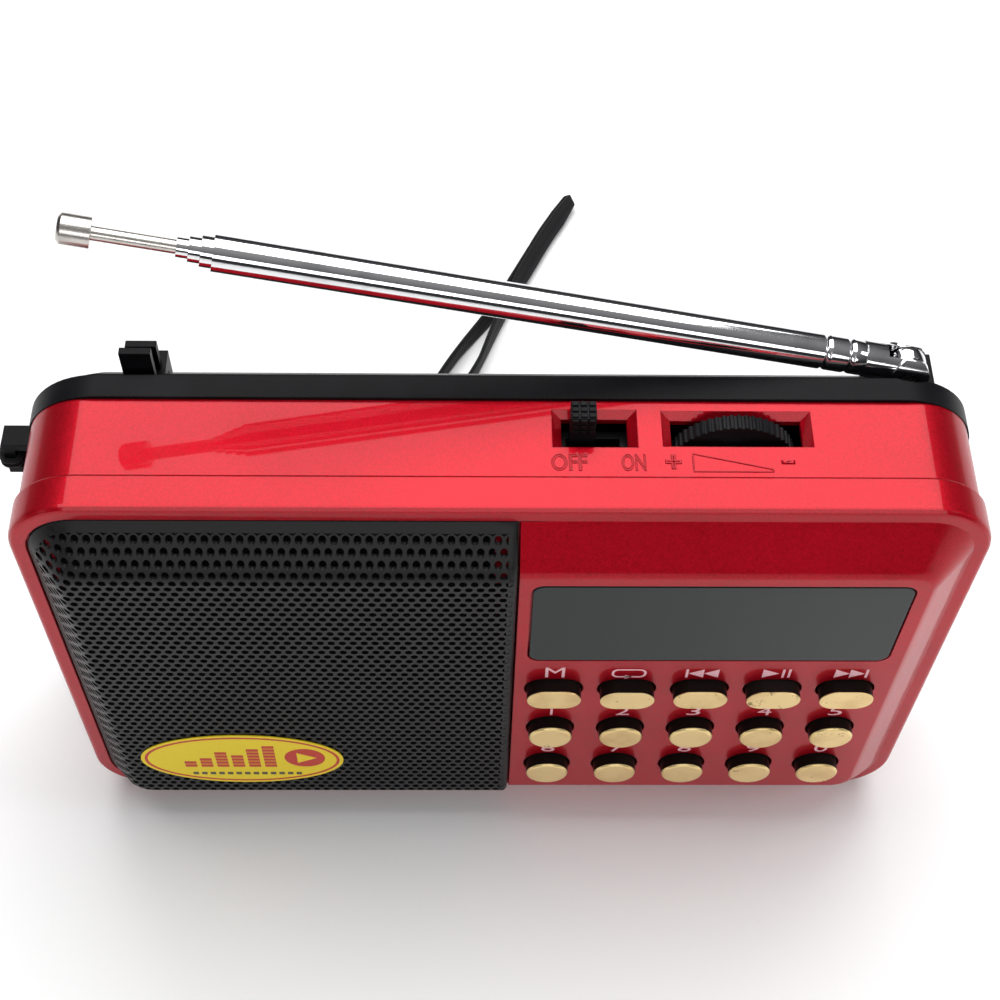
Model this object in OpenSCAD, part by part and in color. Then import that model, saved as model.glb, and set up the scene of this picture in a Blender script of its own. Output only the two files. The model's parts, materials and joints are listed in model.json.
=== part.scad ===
// Pocket FM radio and music player with a telescopic antenna.
// Frame: X to the right seen from the front, Y to the back, Z up.
// Origin: middle of the base, half way through the body's thickness.

/* [Body] */
// Width of the body across the front rim
body_w = 120; // [112:1:150]
// Height of the body, standing on its base
body_h = 77.6; // [76:0.2:96]
// Thickness from the key panel to the back face
body_t = 32; // [31:0.5:39]
// Corner radius of the shells, seen from the front
corner_r = 9; // [6:0.5:11]
// Wall thickness of both shells
wall = 1.8; // [1.5:0.1:2.2]
// How far the front rim stands proud of the red part behind it
rim_step = 0.5; // [0.3:0.1:0.8]
// Depth of that proud rim
rim_depth = 5.2; // [4:0.2:6]
// Width of the flat rim round the grille and panel
rim_flat = 2.2; // [1.8:0.1:3]
// How far the key panel stands in front of the rim
plateau_rise = 4; // [3:0.5:5]
// Slope width of the bevel at the top and bottom
bevel_z = 6.9; // [5:0.1:8]
// Slope width of the bevel at the sides
bevel_x = 5; // [4:0.1:7]
// Depth of the front shell from the rim plane to the seam
shell_depth = 16.6; // [15.6:0.2:17]

/* [Speaker and grille] */
// X of the seam between the grille and the key panel
seam_x = 2.1; // [0:0.1:3]
// Thickness of the pressed steel grille
grille_t = 0.8; // [0.5:0.1:1]
// Gap round the grille and the display lens
trim_gap = 0.25; // [0.15:0.05:0.4]
// Outer diameter of the speaker
speaker_d = 55; // [44:1:56]
// Diameter of the speaker's magnet
magnet_d = 28; // [22:1:34]
// Thickness of the speaker's magnet
magnet_t = 5; // [4:0.2:6]

/* [Keys] */
// Distance between key columns
key_pitch_x = 9.84; // [9.2:0.02:9.9]
// Distance between the lower two key rows
key_pitch_z = 11.7; // [10:0.1:12.4]
// Height of the lowest key row above the base
key_row_z = 16.8; // [15:0.1:17.6]
// Distance from the middle key row up to the function row
function_row_rise = 11.7; // [10:0.1:12.4]
// Distance of the first key column from the seam
key_col_x = 5.35; // [5:0.05:6]
// Diameter of a round key
key_d = 6.1; // [5:0.1:6.6]
// Width of a function key
pill_w = 7.3; // [6.5:0.1:7.6]
// Height of a function key
pill_h = 4.7; // [4:0.1:5.2]
// Clearance between a key and its hole, all round
key_gap = 0.35; // [0.2:0.05:0.4]
// How far a key stands out of the panel
key_proud = 1.9; // [1.5:0.1:3]
// How far a key can be pressed
key_travel = 0.6; // [0.3:0.1:0.8]

/* [Display] */
// Width of the display lens
lens_w = 47; // [40:0.5:48]
// Height of the display lens
lens_h = 18.6; // [14:0.2:19]
// Distance from the top of the body down to the lens
lens_drop = 10.8; // [10.2:0.1:12]
// Distance from the seam to the lens
lens_from_seam = 1.75; // [1.5:0.05:2.5]

/* [Switch and volume wheel] */
// Width of the switch knob
knob_w = 3.1; // [2.4:0.1:4]
// Depth of the switch knob
knob_d = 2.9; // [2.4:0.1:3.2]
// Sliding travel of the switch
switch_travel = 3; // [2:0.5:3.6]
// Height of the knob above the top of the body
knob_proud = 3.3; // [2:0.1:4]
// X of the middle of the switch slot
switch_x = 11.25; // [10:0.25:12]
// Diameter of the volume wheel
wheel_d = 16; // [14:0.5:17]
// Thickness of the volume wheel
wheel_t = 2; // [1.6:0.1:2.6]
// Height of the wheel's rim above the top of the body
wheel_proud = 1.1; // [0.6:0.1:1.5]
// X of the wheel's axle
wheel_x = 28.7; // [28:0.1:32]

/* [Antenna] */
// Outer diameter of the thickest antenna tube
antenna_d = 4.5; // [4:0.1:5]
// Wall thickness of each antenna tube
tube_wall = 0.3; // [0.25:0.01:0.32]
// Radial clearance between antenna tubes
tube_gap = 0.05; // [0.03:0.01:0.08]
// Length of the collapsed antenna from its hinge to its tip
antenna_len = 105.5; // [96:0.5:110]
// Distance of the hinge from the right side of the body
pivot_inset = 8.6; // [8:0.1:12]
// Antenna angle above the horizontal at rest
antenna_rest = 13.4; // [0:0.1:20]
// Diameter of the hinge pin
pin_d = 1.6; // [1.4:0.1:1.8]

/* [Battery] */
// Width of the battery pack
battery_w = 53; // [46:0.5:56]
// Height of the battery pack
battery_h = 34; // [30:0.5:40]
// Thickness of the battery pack
battery_t = 5.6; // [4:0.1:5.8]
// Thickness of the battery door
door_t = 1.4; // [1.2:0.1:1.6]

/* [Wrist strap] */
// Diameter of the doubled loop cord
loop_d = 1.6; // [1.2:0.1:2]
// Width of the strap webbing
webbing_w = 3.6; // [3:0.1:4]

/* [Hidden] */

$fn = 64;
corner_steps = 14;
e = 0.01;
slice = 0.05;

red = [0.72, 0.05, 0.12];
cover_black = [0.12, 0.12, 0.14];
grille_black = [0.08, 0.08, 0.09];
steel = [0.75, 0.76, 0.78];
gold = [0.86, 0.76, 0.5];
board_green = [0.08, 0.3, 0.18];
lens_grey = [0.22, 0.25, 0.25];

// Planes through the thickness.
panel_y = -body_t / 2;
rim_y = panel_y + plateau_rise;
seam_y = rim_y + shell_depth;
back_y = body_t / 2;
groove_y = rim_y + rim_depth;

// Outline of the red part behind the rim: flush with the base, stepped in elsewhere.
side_x = body_w / 2;
rim_fillet = 0.9;
inner_side_x = side_x - rim_step - wall;
top_z = body_h - rim_step;
inner_top_z = top_z - wall;

// Key panel and the recess that holds the grille.
frame_w = body_w - 2 * rim_flat;
frame_h = body_h - 2 * rim_flat;
frame_r = corner_r - rim_flat;
plateau_r = 2.6;
baffle_y = rim_y + grille_t;
grille_shift = 0.6;
panel_in_y = panel_y + wall;

// Case screws.
boss_r = 3;
boss_inset = 8;
boss_x = side_x - boss_inset;
boss_z_low = boss_inset;
boss_z_high = body_h - 17;
boss_spots = [for (x = [-boss_x, boss_x], z = [boss_z_low, boss_z_high]) [x, z]];
screw_r = 0.95;
screw_hole_r = 1;
head_r = 1.9;
head_t = 1.5;
counterbore_r = 2.2;
counterbore_depth = 4;

// Main board.
board_t = 1.6;
board_y = panel_in_y + 6.6;
board_back_y = board_y + board_t;
board_x0 = seam_x + 1.6;
board_x1 = inner_side_x - 1;
board_z0 = boss_z_low - boss_r - 1;
board_z1 = inner_top_z - 3.3;
board_r = 3;
board_boss_r = 2.2;
board_boss_z = key_row_z - 7.2;
board_boss_spots = [
    [seam_x + key_col_x + key_pitch_x / 2, board_boss_z],
    [seam_x + key_col_x + 3.5 * key_pitch_x, board_boss_z],
    [inner_side_x - 4.6, boss_z_high - 5]];

// Keys: function row on top, then two rows of digits.
key_cols = [for (i = [0:4]) seam_x + key_col_x + i * key_pitch_x];
row_z = [key_row_z + key_pitch_z + function_row_rise, key_row_z + key_pitch_z, key_row_z];
key_front_y = panel_y - key_proud;
key_flange_t = 1;
key_flange_y = panel_in_y + 0.05;
key_flange = 0.6;
seam_wall = 1;
tact_body = 6;
tact_body_t = 3.5;
tact_stem_r = 1.7;
tact_clear = 0.15;
key_back_y = key_flange_y + key_flange_t;
tact_top_y = key_back_y + key_travel + tact_clear;

// Speaker.
grille_x0 = -(side_x - rim_flat);
speaker_x = (grille_x0 + seam_x) / 2;
speaker_z = body_h / 2;
baffle_back_y = baffle_y + wall;
basket_rim_t = 1.2;
basket_depth = 8.4;
magnet_y = baffle_back_y + basket_depth;
cone_t = 0.5;

// Display.
lens_x = seam_x + lens_from_seam + lens_w / 2;
lens_z = body_h - lens_drop - lens_h / 2;
lens_t = 1.2;
lens_ledge = 3;
lens_r = 1.5;
module_inset = 2.5;

// Volume wheel and switch.
wheel_z = body_h + wheel_proud - wheel_d / 2;
control_y = seam_y - 4.15;
wheel_y = control_y - wheel_t / 2;
wheel_slot_y = 3.8;
pot_r = 4.3;
pot_front_y = board_back_y;
pot_back_y = wheel_y - 0.6;
pot_shaft_r = 2.4;
run_gap = 0.06;
recess_depth = 1;
recess_slope_x = 1.2;
recess_slope_y = 0.8;
switch_slot_w = knob_w + switch_travel + 2;
switch_slot_y = knob_d + 1.2;
knob_rest_x = switch_x - switch_travel / 2;
switch_body_w = switch_slot_w + 1;
switch_body_z0 = inner_top_z - 5.4;
switch_body_z1 = inner_top_z - 1.8;

// Antenna: built along -X from the hinge, then raised by antenna_rest.
tube_od = [for (i = [0:3]) antenna_d - 2 * i * (tube_wall + tube_gap)];
tube_id = [for (i = [0:3]) tube_od[i] - 2 * tube_wall];
rod_d = tube_id[3] - 2 * tube_gap;
cap_d = 3.7;
cap_len = 3.8;
rod_out = 9.7;
section_step = 1.4;
tube_end = [for (i = [0:3]) antenna_len - cap_len - rod_out - (3 - i) * section_step];
tube_start = [for (i = [0:3]) i == 0 ? 6.2 : 13 + i];
clevis_end_r = 2.6;
clevis_plug = 6;
clevis_slot = 1.9;
tongue_t = 1.7;
pivot_x = side_x - pivot_inset;
ledge_z = top_z - 4.7;
pivot_z = ledge_z + clevis_end_r + 0.5;
ledge_y = back_y - 8;
pivot_y = ledge_y + 3.8;
swivel_r = 3.1;
swivel_disc_t = 1.4;
swivel_post_r = 1.9;
swivel_pocket_r = 4.3;

// Clip that holds the thin rod when the antenna is stowed.
clip_w = 3.9;
clip_dist = antenna_len - cap_len - rod_out / 2;
clip_x = pivot_x - clip_dist;
clip_t = 1;
clip_gap = rod_d + 0.6;

// Back cover.
cover_fillet = 2.4;
ledge_slope = 3.8;
ledge_slopes = [
    [-side_x - 1, clip_x - clip_w / 2 - 0.6], [clip_x + clip_w / 2 + 0.6, pivot_x - swivel_pocket_r],
    [pivot_x + swivel_pocket_r, side_x + 1]];
ledge_fall = 1.2;
battery_x = 0;
battery_z0 = 10;
pocket_gap = 0.3;
door_y = back_y - door_t;
door_w = battery_w + 5;
contact_room = 1.3;
pocket_z1 = battery_z0 + battery_h + contact_room;
door_z1 = pocket_z1 + 3.2;
door_gap = 0.2;
door_rail = 1;
battery_y1 = door_y - 0.4;
pocket_floor_y = battery_y1 - battery_t - pocket_gap;

// Strap lug on the left side of the cover.
lug_z = body_h - 17.6;
lug_h = 6;
lug_out = 4.2;
lug_bar = 1.6;
lug_y = seam_y + 2.4;
lug_d = 3.2;

// Sockets on the right side, behind the board.
card_z = boss_z_low + boss_r + 6.5;
charge_z = card_z + 10.5;
usb_z = charge_z + 11.5;
usb_w = 13.1;
usb_t = 5.7;
usb_len = 14;
jack_z = usb_z + 11;
socket_out_x = side_x - rim_step - 0.2;

// Sticker on the grille.
sticker_x = speaker_x - 8.6;
sticker_z = 19.8;
sticker_w = 29;
sticker_h = 15.4;
sticker_t = 0.15;

// Route of the loop cord: down from the lug, then onto the table.
cord_route = [
    [-61.3, 6.6, 63.2], [-61.3, 8.6, 63.2], [-61.5, 10.2, 62], [-62, 10.8, 59], [-62.6, 11, 55],
    [-63, 11.1, 50], [-63, 11.2, 44], [-63, 11.3, 38], [-63, 11.4, 32], [-63, 11.5, 26],
    [-63, 11.7, 20], [-63, 12, 14],
    [-62.9, 12.8, 9], [-62.8, 14.2, 5], [-62.6, 16.4, 2.7], [-62.35, 18.25, 2], [-62.2, 20, 2]];
// Route of the doubled webbing, lying on the table behind the body.
webbing_route = [
    [-61.6, 27, 2], [-61.3, 30.5, 2], [-59.8, 34.4, 2], [-56, 38.2, 2], [-50, 41.2, 2],
    [-42, 43.6, 2], [-34, 45, 2],
    [-26, 47, 2], [-19, 50.6, 2], [-13, 56, 2], [-8.6, 62.4, 2], [-5, 69, 2], [-2.4, 74.2, 2],
    [0.3, 79.6, 2], [3, 85, 2], [5.6, 90.4, 2], [8, 95.4, 2], [10.4, 100.4, 2],
    [13, 105.2, 2], [15.2, 109.4, 2]];
connector_a = [-62.2, 20, 2];
connector_b = [-61.6, 27, 2];

// ---------------------------------------------------------------- shapes

// Rounded rectangle round the middle, with exact arcs.
module rounded(w, h, r) {
    square([w - 2 * r, h], center = true);
    square([w, h - 2 * r], center = true);
    for (x = [-1, 1], z = [-1, 1]) translate([x * (w / 2 - r), z * (h / 2 - r)]) circle(r);
}

// Extrudes a front-view outline from y0 to y1; the outline's y becomes Z.
module front_extrude(y0, y1) {
    translate([0, y1, 0]) rotate([90, 0, 0]) linear_extrude(y1 - y0) children();
}

// A rounded plate in front view, from corner to corner.
module plate(x0, x1, z0, z1, y0, y1, r) {
    front_extrude(y0, y1) translate([(x0 + x1) / 2, (z0 + z1) / 2]) rounded(x1 - x0, z1 - z0, r);
}

// The outline of such a plate as points at one depth, anticlockwise from the front.
function ring(x0, x1, z0, z1, y, r) =
    [for (c = [[x1 - r, z1 - r, 0], [x0 + r, z1 - r, 90], [x0 + r, z0 + r, 180], [x1 - r, z0 + r, 270]],
            k = [0:corner_steps])
        let (a = c[2] + 90 * k / corner_steps) [c[0] + r * cos(a), y, c[1] + r * sin(a)]];

// A closed solid through such rings, listed from front to back.
module loft(rings) {
    n = len(rings[0]);
    last = len(rings) - 1;
    polyhedron(
        points = [for (r = rings) each r],
        faces = [
            [for (k = [n - 1:-1:0]) k],
            [for (k = [0:n - 1]) last * n + k],
            for (i = [0:last - 1], k = [0:n - 1])
                let (a = i * n + k, b = i * n + (k + 1) % n)
                each [[a, b, b + n], [a, b + n, a + n]]],
        convexity = 4);
}

// A box from its lowest to its highest corner.
module block(a, b) {
    translate(a) cube(b - a);
}

// A round bar along Y.
module bar_y(x, z, r, y0, y1) {
    translate([x, y1, z]) rotate([90, 0, 0]) cylinder(r = r, h = y1 - y0);
}

// A solid between outlines that shrink in steps: each step is [y, inset], from front to back.
module stepped_shell(x0, x1, z0, z1, r, steps) {
    loft([for (s = steps) ring(x0 + s[1], x1 - s[1], z0 + s[1], z1 - s[1], s[0], r - s[1])]);
}

// Bevelled plateau: flat top at y_high, full outline from y_low back to y_back, softened crease.
module bevelled(x0, x1, z0, z1, r, y_low, y_back, y_high, in_x, in_z, top_r) {
    crease = 0.18;
    loft([for (k = [[1, 0], [1 - crease / 3, 0.03], [1 - crease, 0.12]])
            ring(x0 + in_x * k[0], x1 - in_x * k[0], z0 + in_z * k[0], z1 - in_z * k[0],
                y_high + plateau_rise * k[1], top_r + (r - top_r) * (1 - k[0])),
        ring(x0, x1, z0, z1, y_low, r), ring(x0, x1, z0, z1, y_back, r)]);
}

// Sloped slot through the top wall.
module top_slot(x, w, depth_y, extra_x, extra_y) {
    hull() {
        translate([x, control_y, top_z + e]) cube([w + 2 * extra_x, depth_y + 2 * extra_y, slice],
            center = true);
        translate([x, control_y, top_z - recess_depth]) cube([w, depth_y, slice], center = true);
    }
    translate([x, control_y, top_z - wall]) cube([w, depth_y, 2 * wall], center = true);
}

// Steps of a rounded edge that starts at y_end, or with side -1 ends there, from front to back.
edge_steps = [[0, 1], [1 / 6, 0.5], [0.5, 1 / 6], [1, 0]];
function rounded_edge(y_end, r, side) =
    [for (i = side > 0 ? [0:3] : [3:-1:0])
        [y_end + side * r * edge_steps[i][0], r * edge_steps[i][1]]];
function unit(v) = v / norm(v);
function tangent(p, i) = unit(p[min(i + 1, len(p) - 1)] - p[max(i - 1, 0)]);

// Tube swept along a route of points, as one polyhedron.
module tube(route, d, sides = 8) {
    rings = [for (i = [0:len(route) - 1])
        let (t = tangent(route, i), side = unit(cross(t, abs(t.z) > 0.8 ? [0, 1, 0] : [0, 0, 1])),
            lift = cross(side, t))
        [for (k = [0:sides - 1])
            route[i] + d / 2 * (cos(360 * k / sides) * side + sin(360 * k / sides) * lift)]];
    last = len(route) - 1;
    polyhedron(
        points = [for (ring = rings) each ring],
        faces = [
            [for (k = [0:sides - 1]) k],
            [for (k = [sides - 1:-1:0]) last * sides + k],
            for (i = [0:last - 1], k = [0:sides - 1])
                let (a = i * sides + k, b = i * sides + (k + 1) % sides)
                each [[a, a + sides, b], [b, a + sides, b + sides]]],
        convexity = 6);
}

// ---------------------------------------------------------------- housing

module front_shell() color(red) {
    difference() {
        union() {
            // red part behind the rim
            plate(-side_x + rim_step, side_x - rim_step, 0, top_z, groove_y - e, seam_y, corner_r - rim_step);
            // proud rim with a softened front edge
            stepped_shell(-side_x, side_x, 0, body_h, corner_r,
                concat(rounded_edge(rim_y, rim_fillet, 1), [[groove_y - 0.4, 0], [groove_y, 0.3]]));
            // bevelled key panel
            difference() {
                bevelled(grille_x0, -grille_x0, rim_flat, body_h - rim_flat, frame_r,
                    rim_y, rim_y + 0.3, panel_y, bevel_x, bevel_z, plateau_r);
                block([-side_x, panel_y - 1, -1], [seam_x, rim_y + slice + e, body_h + 1]);
            }
        }
        // inside behind the baffle and behind the panel
        plate(-inner_side_x, inner_side_x, wall, inner_top_z, baffle_back_y, seam_y + e,
            corner_r - rim_step - wall);
        loft([
            ring(seam_x + seam_wall, side_x - rim_flat - bevel_x - 0.6, rim_flat + bevel_z - 0.4,
                body_h - rim_flat - bevel_z + 0.4, panel_in_y, plateau_r - 1),
            ring(seam_x + seam_wall, inner_side_x - 1, wall + 1, inner_top_z - 1,
                baffle_back_y + slice, corner_r - 4)]);
        // rebate for the grille
        plate(grille_x0, seam_x + corner_r, rim_flat, body_h - rim_flat, rim_y - e, baffle_y, frame_r);
        // speaker aperture
        bar_y(speaker_x, speaker_z, speaker_d / 2 - 3, baffle_y - e, baffle_back_y + e);
        // display window and its ledge
        plate(lens_x - lens_w / 2 - trim_gap, lens_x + lens_w / 2 + trim_gap, lens_z - lens_h / 2 - trim_gap,
            lens_z + lens_h / 2 + trim_gap, panel_y - e, panel_y + lens_t, lens_r + trim_gap);
        plate(lens_x - lens_w / 2 + lens_ledge, lens_x + lens_w / 2 - lens_ledge,
            lens_z - lens_h / 2 + lens_ledge,
            lens_z + lens_h / 2 - lens_ledge, panel_y, panel_in_y + e, lens_r);
        // key holes
        for (x = key_cols) {
            plate(x - pill_w / 2 - key_gap, x + pill_w / 2 + key_gap, row_z[0] - pill_h / 2 - key_gap,
                row_z[0] + pill_h / 2 + key_gap, panel_y - 1, panel_in_y + 1, pill_h / 2 + key_gap - e);
            for (z = [row_z[1], row_z[2]]) bar_y(x, z, key_d / 2 + key_gap, panel_y - 1, panel_in_y + 1);
        }
        // switch slot and wheel slot in the top
        top_slot(switch_x, switch_slot_w, switch_slot_y, recess_slope_x, recess_slope_y);
        top_slot(wheel_x, wheel_d + 0.1, wheel_slot_y, recess_slope_x, recess_slope_y);
        // socket holes in the right side
        block([inner_side_x - e, board_back_y - 0.1, usb_z - usb_w / 2 - 0.3],
            [side_x, board_back_y + usb_t + 0.3, usb_z + usb_w / 2 + 0.3]);
        block([inner_side_x - e, board_back_y - 0.1, charge_z - 4.1], [side_x, board_back_y + 3.3,
            charge_z + 4.1]);
        block([inner_side_x - e, board_back_y - 0.1, card_z - 6.1], [side_x, board_back_y + 1.9,
            card_z + 6.1]);
        translate([inner_side_x - e, board_back_y + 3, jack_z]) rotate([0, 90, 0]) cylinder(r = 3.1,
            h = wall + rim_step + 1);
    }
    // screw posts
    for (s = boss_spots) difference() {
        bar_y(s[0], s[1], boss_r, (s[0] < 0 ? baffle_back_y : rim_y) - e, seam_y);
        bar_y(s[0], s[1], screw_hole_r, seam_y - 11, seam_y + e);
    }
    for (s = board_boss_spots) difference() {
        bar_y(s[0], s[1], board_boss_r, s[1] == board_boss_z ? rim_y - 1.4 : rim_y - 0.6, board_y);
        bar_y(s[0], s[1], screw_hole_r, board_y - 4.5, board_y + e);
    }
}

module cover_body() {
    difference() {
        stepped_shell(-side_x, side_x, 0, body_h, corner_r + 1,
            concat([[seam_y, 0]], rounded_edge(back_y, cover_fillet, -1)));
        // inside
        plate(-inner_side_x, inner_side_x, wall, inner_top_z, seam_y - e, ledge_y - wall, corner_r - wall);
        plate(-inner_side_x, inner_side_x, wall, ledge_z - wall, seam_y - e, back_y - wall, corner_r - wall);
        // open ledge that the antenna lies on
        block([-side_x - 1, ledge_y, ledge_z], [side_x + 1, back_y + 1, body_h + 1]);
    }
    // thick corner behind the ledge's sloped edge
    for (span = ledge_slopes)
        block([max(span[0], -inner_side_x - e), back_y - ledge_slope - 0.6, ledge_z - wall - ledge_slope],
            [min(span[1], inner_side_x + e), back_y - wall + e, ledge_z - wall + e]);
    // battery box
    block([battery_x - battery_w / 2 - 2, pocket_floor_y - 1.2, battery_z0 - 2],
        [battery_x + battery_w / 2 + 2, back_y - wall + e, pocket_z1 + 2]);
    // screw columns
    for (s = boss_spots) bar_y(s[0], s[1], boss_r, seam_y, back_y - wall + e);
    // bed under the door's rails
    block([-door_w / 2 - 3, door_y - door_rail - 1.4, wall - e], [door_w / 2 + 3, back_y - wall + e,
        door_z1 + 2]);
    // seat of the antenna swivel, inside under the ledge
    translate([pivot_x, pivot_y, ledge_z - swivel_disc_t - 2]) cylinder(r = swivel_r + 1, h = 2 + e);
}

// What lies outside the cover's upper left corner at one depth, with the corner lowered by drop.
function end_outline(y, drop) =
    let (r = corner_r + 1, x = -side_x + r, z = body_h - r - drop)
    concat([for (k = [0:corner_steps]) let (a = 180 - 90 * k / corner_steps)
            [x + r * cos(a), y, z + r * sin(a)]],
        [[x, y, body_h + 8], [-side_x - 6, y, body_h + 8], [-side_x - 6, y, z]]);

module back_cover() color(cover_black) {
    difference() {
        cover_body();
        // sloped back edge of the ledge, left whole at the clip and the swivel
        for (span = ledge_slopes) translate([span[0], 0, 0]) rotate([90, 0, 90])
            linear_extrude(span[1] - span[0]) polygon([[back_y - ledge_slope, ledge_z + 1],
                [back_y - ledge_slope, ledge_z], [back_y, ledge_z - ledge_slope * ledge_fall],
                [back_y + 1, ledge_z - ledge_slope * ledge_fall], [back_y + 1, ledge_z + 1]]);
        // ends of the ledge, falling away from the rounded corners
        difference() {
            for (side = [0, 1]) mirror([side, 0, 0])
                loft([for (y = [ledge_y, back_y + 1]) end_outline(y, ledge_fall * (y - ledge_y))]);
            block([pivot_x - swivel_pocket_r, ledge_y - 1, 0], [pivot_x + swivel_pocket_r, back_y + 2,
                body_h + 9]);
        }
        // battery pocket
        block([battery_x - battery_w / 2 - pocket_gap, pocket_floor_y, battery_z0 - pocket_gap],
            [battery_x + battery_w / 2 + pocket_gap, back_y + 1, pocket_z1]);
        // door opening, open at the bottom so that the door slides down and off
        block([-door_w / 2 - door_gap, door_y - door_gap, -1], [door_w / 2 + door_gap, back_y + 1,
            door_z1 + door_gap]);
        block([-door_w / 2 - door_rail - door_gap, door_y - door_gap, -1],
            [door_w / 2 + door_rail + door_gap, door_y + 0.6 + door_gap, door_z1 + door_gap]);
        // screw holes and counterbores
        for (s = boss_spots) {
            bar_y(s[0], s[1], screw_hole_r + 0.2, seam_y - e, back_y);
            bar_y(s[0], s[1], counterbore_r, back_y - counterbore_depth, back_y + 1);
        }
        // swivel pocket, post hole and screw room
        translate([pivot_x, pivot_y, ledge_z - swivel_disc_t]) cylinder(r = swivel_r + run_gap, h = 20);
        translate([pivot_x, pivot_y, ledge_z + e]) cylinder(r = swivel_pocket_r, h = 20);
        translate([pivot_x, pivot_y, ledge_z - swivel_disc_t - 3]) cylinder(r = swivel_post_r + run_gap,
            h = 4);
    }
    // clip for the stowed antenna
    block([clip_x - clip_w / 2, pivot_y - clip_gap / 2 - clip_t, ledge_z - e],
        [clip_x + clip_w / 2, pivot_y - clip_gap / 2, body_h + 2]);
    block([clip_x - clip_w / 2, pivot_y + clip_gap / 2, ledge_z - e],
        [clip_x + clip_w / 2, min(pivot_y + clip_gap / 2 + clip_t, back_y - 0.05), pivot_z + 1.4]);
    // strap lug: a bar held by two ends
    difference() {
        block([-side_x - lug_out, lug_y - lug_d / 2, lug_z], [-side_x + 1, lug_y + lug_d / 2, lug_z + lug_h]);
        block([-side_x - lug_out + lug_bar, lug_y - lug_d, lug_z + 1.2], [-side_x, lug_y + lug_d,
            lug_z + lug_h - 1.2]);
    }
}

module battery_door() color(cover_black) {
    difference() {
        union() {
            block([-door_w / 2, door_y, 0.6], [door_w / 2, back_y, door_z1]);
            block([-door_w / 2 - door_rail, door_y, 0.6], [door_w / 2 + door_rail, door_y + 0.6, door_z1]);
        }
        // finger grooves
        for (i = [0:4]) block([-7, back_y - 0.4, door_z1 - 5 - 2 * i], [7, back_y + 1, door_z1 - 4 - 2 * i]);
    }
}

// Grille form at a given depth inside its outer face, cut off at the seam.
module grille_form(inset, seam_cut) {
    edge = trim_gap + inset;
    front_y = panel_y - grille_t + inset;
    difference() {
        bevelled(grille_x0 + edge, -grille_x0 - edge, rim_flat + edge, body_h - rim_flat - edge,
            frame_r - edge, rim_y, baffle_y - 0.05 + (inset > 0 ? 1 : 0), front_y,
            bevel_x - grille_shift, bevel_z - grille_shift, plateau_r);
        block([seam_cut, front_y - 1, -1], [side_x, rim_y + 5, body_h + 1]);
    }
}

module speaker_grille() color(grille_black)
    difference() {
        grille_form(0, seam_x - trim_gap);
        grille_form(grille_t, seam_x - trim_gap - grille_t);
    }

module grille_felt() color([0.05, 0.05, 0.05])
    plate(grille_x0 + 3, seam_x - 3, rim_flat + 3, body_h - rim_flat - 3, baffle_y - 0.5, baffle_y, 3);

// ---------------------------------------------------------------- speaker

module speaker_basket() color(steel)
    translate([speaker_x, baffle_back_y, speaker_z]) rotate([-90, 0, 0]) rotate_extrude()
        polygon([[speaker_d / 2 - 4, 0], [speaker_d / 2, 0], [speaker_d / 2, basket_rim_t],
            [speaker_d / 2 - 3, basket_rim_t],
            [magnet_d / 2 + 1, basket_depth], [6, basket_depth], [6, basket_depth - 0.8], [magnet_d / 2,
                basket_depth - 0.8],
            [speaker_d / 2 - 4, basket_rim_t]]);

module speaker_cone() color([0.1, 0.1, 0.1])
    translate([speaker_x, baffle_back_y + 0.1, speaker_z]) rotate([-90, 0, 0]) rotate_extrude()
        polygon([[0, 3.2], [5.4, 5], [7, 5], [speaker_d / 2 - 7, 1], [speaker_d / 2 - 4.2, 0.4],
            [speaker_d / 2 - 4.2, 0.4 + cone_t],
            [speaker_d / 2 - 7, 1 + cone_t], [8, 5 + cone_t], [5.4, 5 + cone_t], [0, 3.2 + cone_t]]);

module speaker_magnet() color([0.35, 0.36, 0.38])
    bar_y(speaker_x, speaker_z, magnet_d / 2, magnet_y, magnet_y + magnet_t);

// ---------------------------------------------------------------- electronics

module main_board() color(board_green)
    difference() {
        plate(board_x0, board_x1, board_z0, board_z1, board_y, board_back_y, board_r);
        for (s = boss_spots) bar_y(s[0], s[1], boss_r + 0.4, board_y - 1, board_back_y + 1);
        for (s = board_boss_spots) bar_y(s[0], s[1], screw_hole_r + 0.1, board_y - 1, board_back_y + 1);
    }

module tact_switches() color([0.2, 0.2, 0.22])
    for (x = key_cols, z = row_z) {
        plate(x - tact_body / 2, x + tact_body / 2, z - tact_body / 2, z + tact_body / 2,
            board_y - tact_body_t, board_y, 0.3);
        bar_y(x, z, tact_stem_r, tact_top_y, board_y - tact_body_t + e);
    }

module display_lens() color(lens_grey)
    plate(lens_x - lens_w / 2, lens_x + lens_w / 2, lens_z - lens_h / 2, lens_z + lens_h / 2,
        panel_y - 0.05, panel_y + lens_t, lens_r);

module display_module() color([0.16, 0.17, 0.17])
    plate(lens_x - lens_w / 2 + module_inset, lens_x + lens_w / 2 - module_inset,
        lens_z - lens_h / 2 + module_inset,
        lens_z + lens_h / 2 - module_inset, panel_in_y + 0.1, board_y, 0.6);

// A round key: cap, and a flange behind the panel.
module round_key(col, row) color(gold) {
    bar_y(key_cols[col], row_z[row], key_d / 2, key_front_y + 0.3, key_flange_y);
    translate([key_cols[col], key_front_y, row_z[row]]) rotate([-90, 0, 0]) cylinder(r1 = key_d / 2 - 0.3,
        r2 = key_d / 2, h = 0.3);
    bar_y(key_cols[col], row_z[row], key_d / 2 + key_flange, key_flange_y, key_back_y);
}

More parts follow.
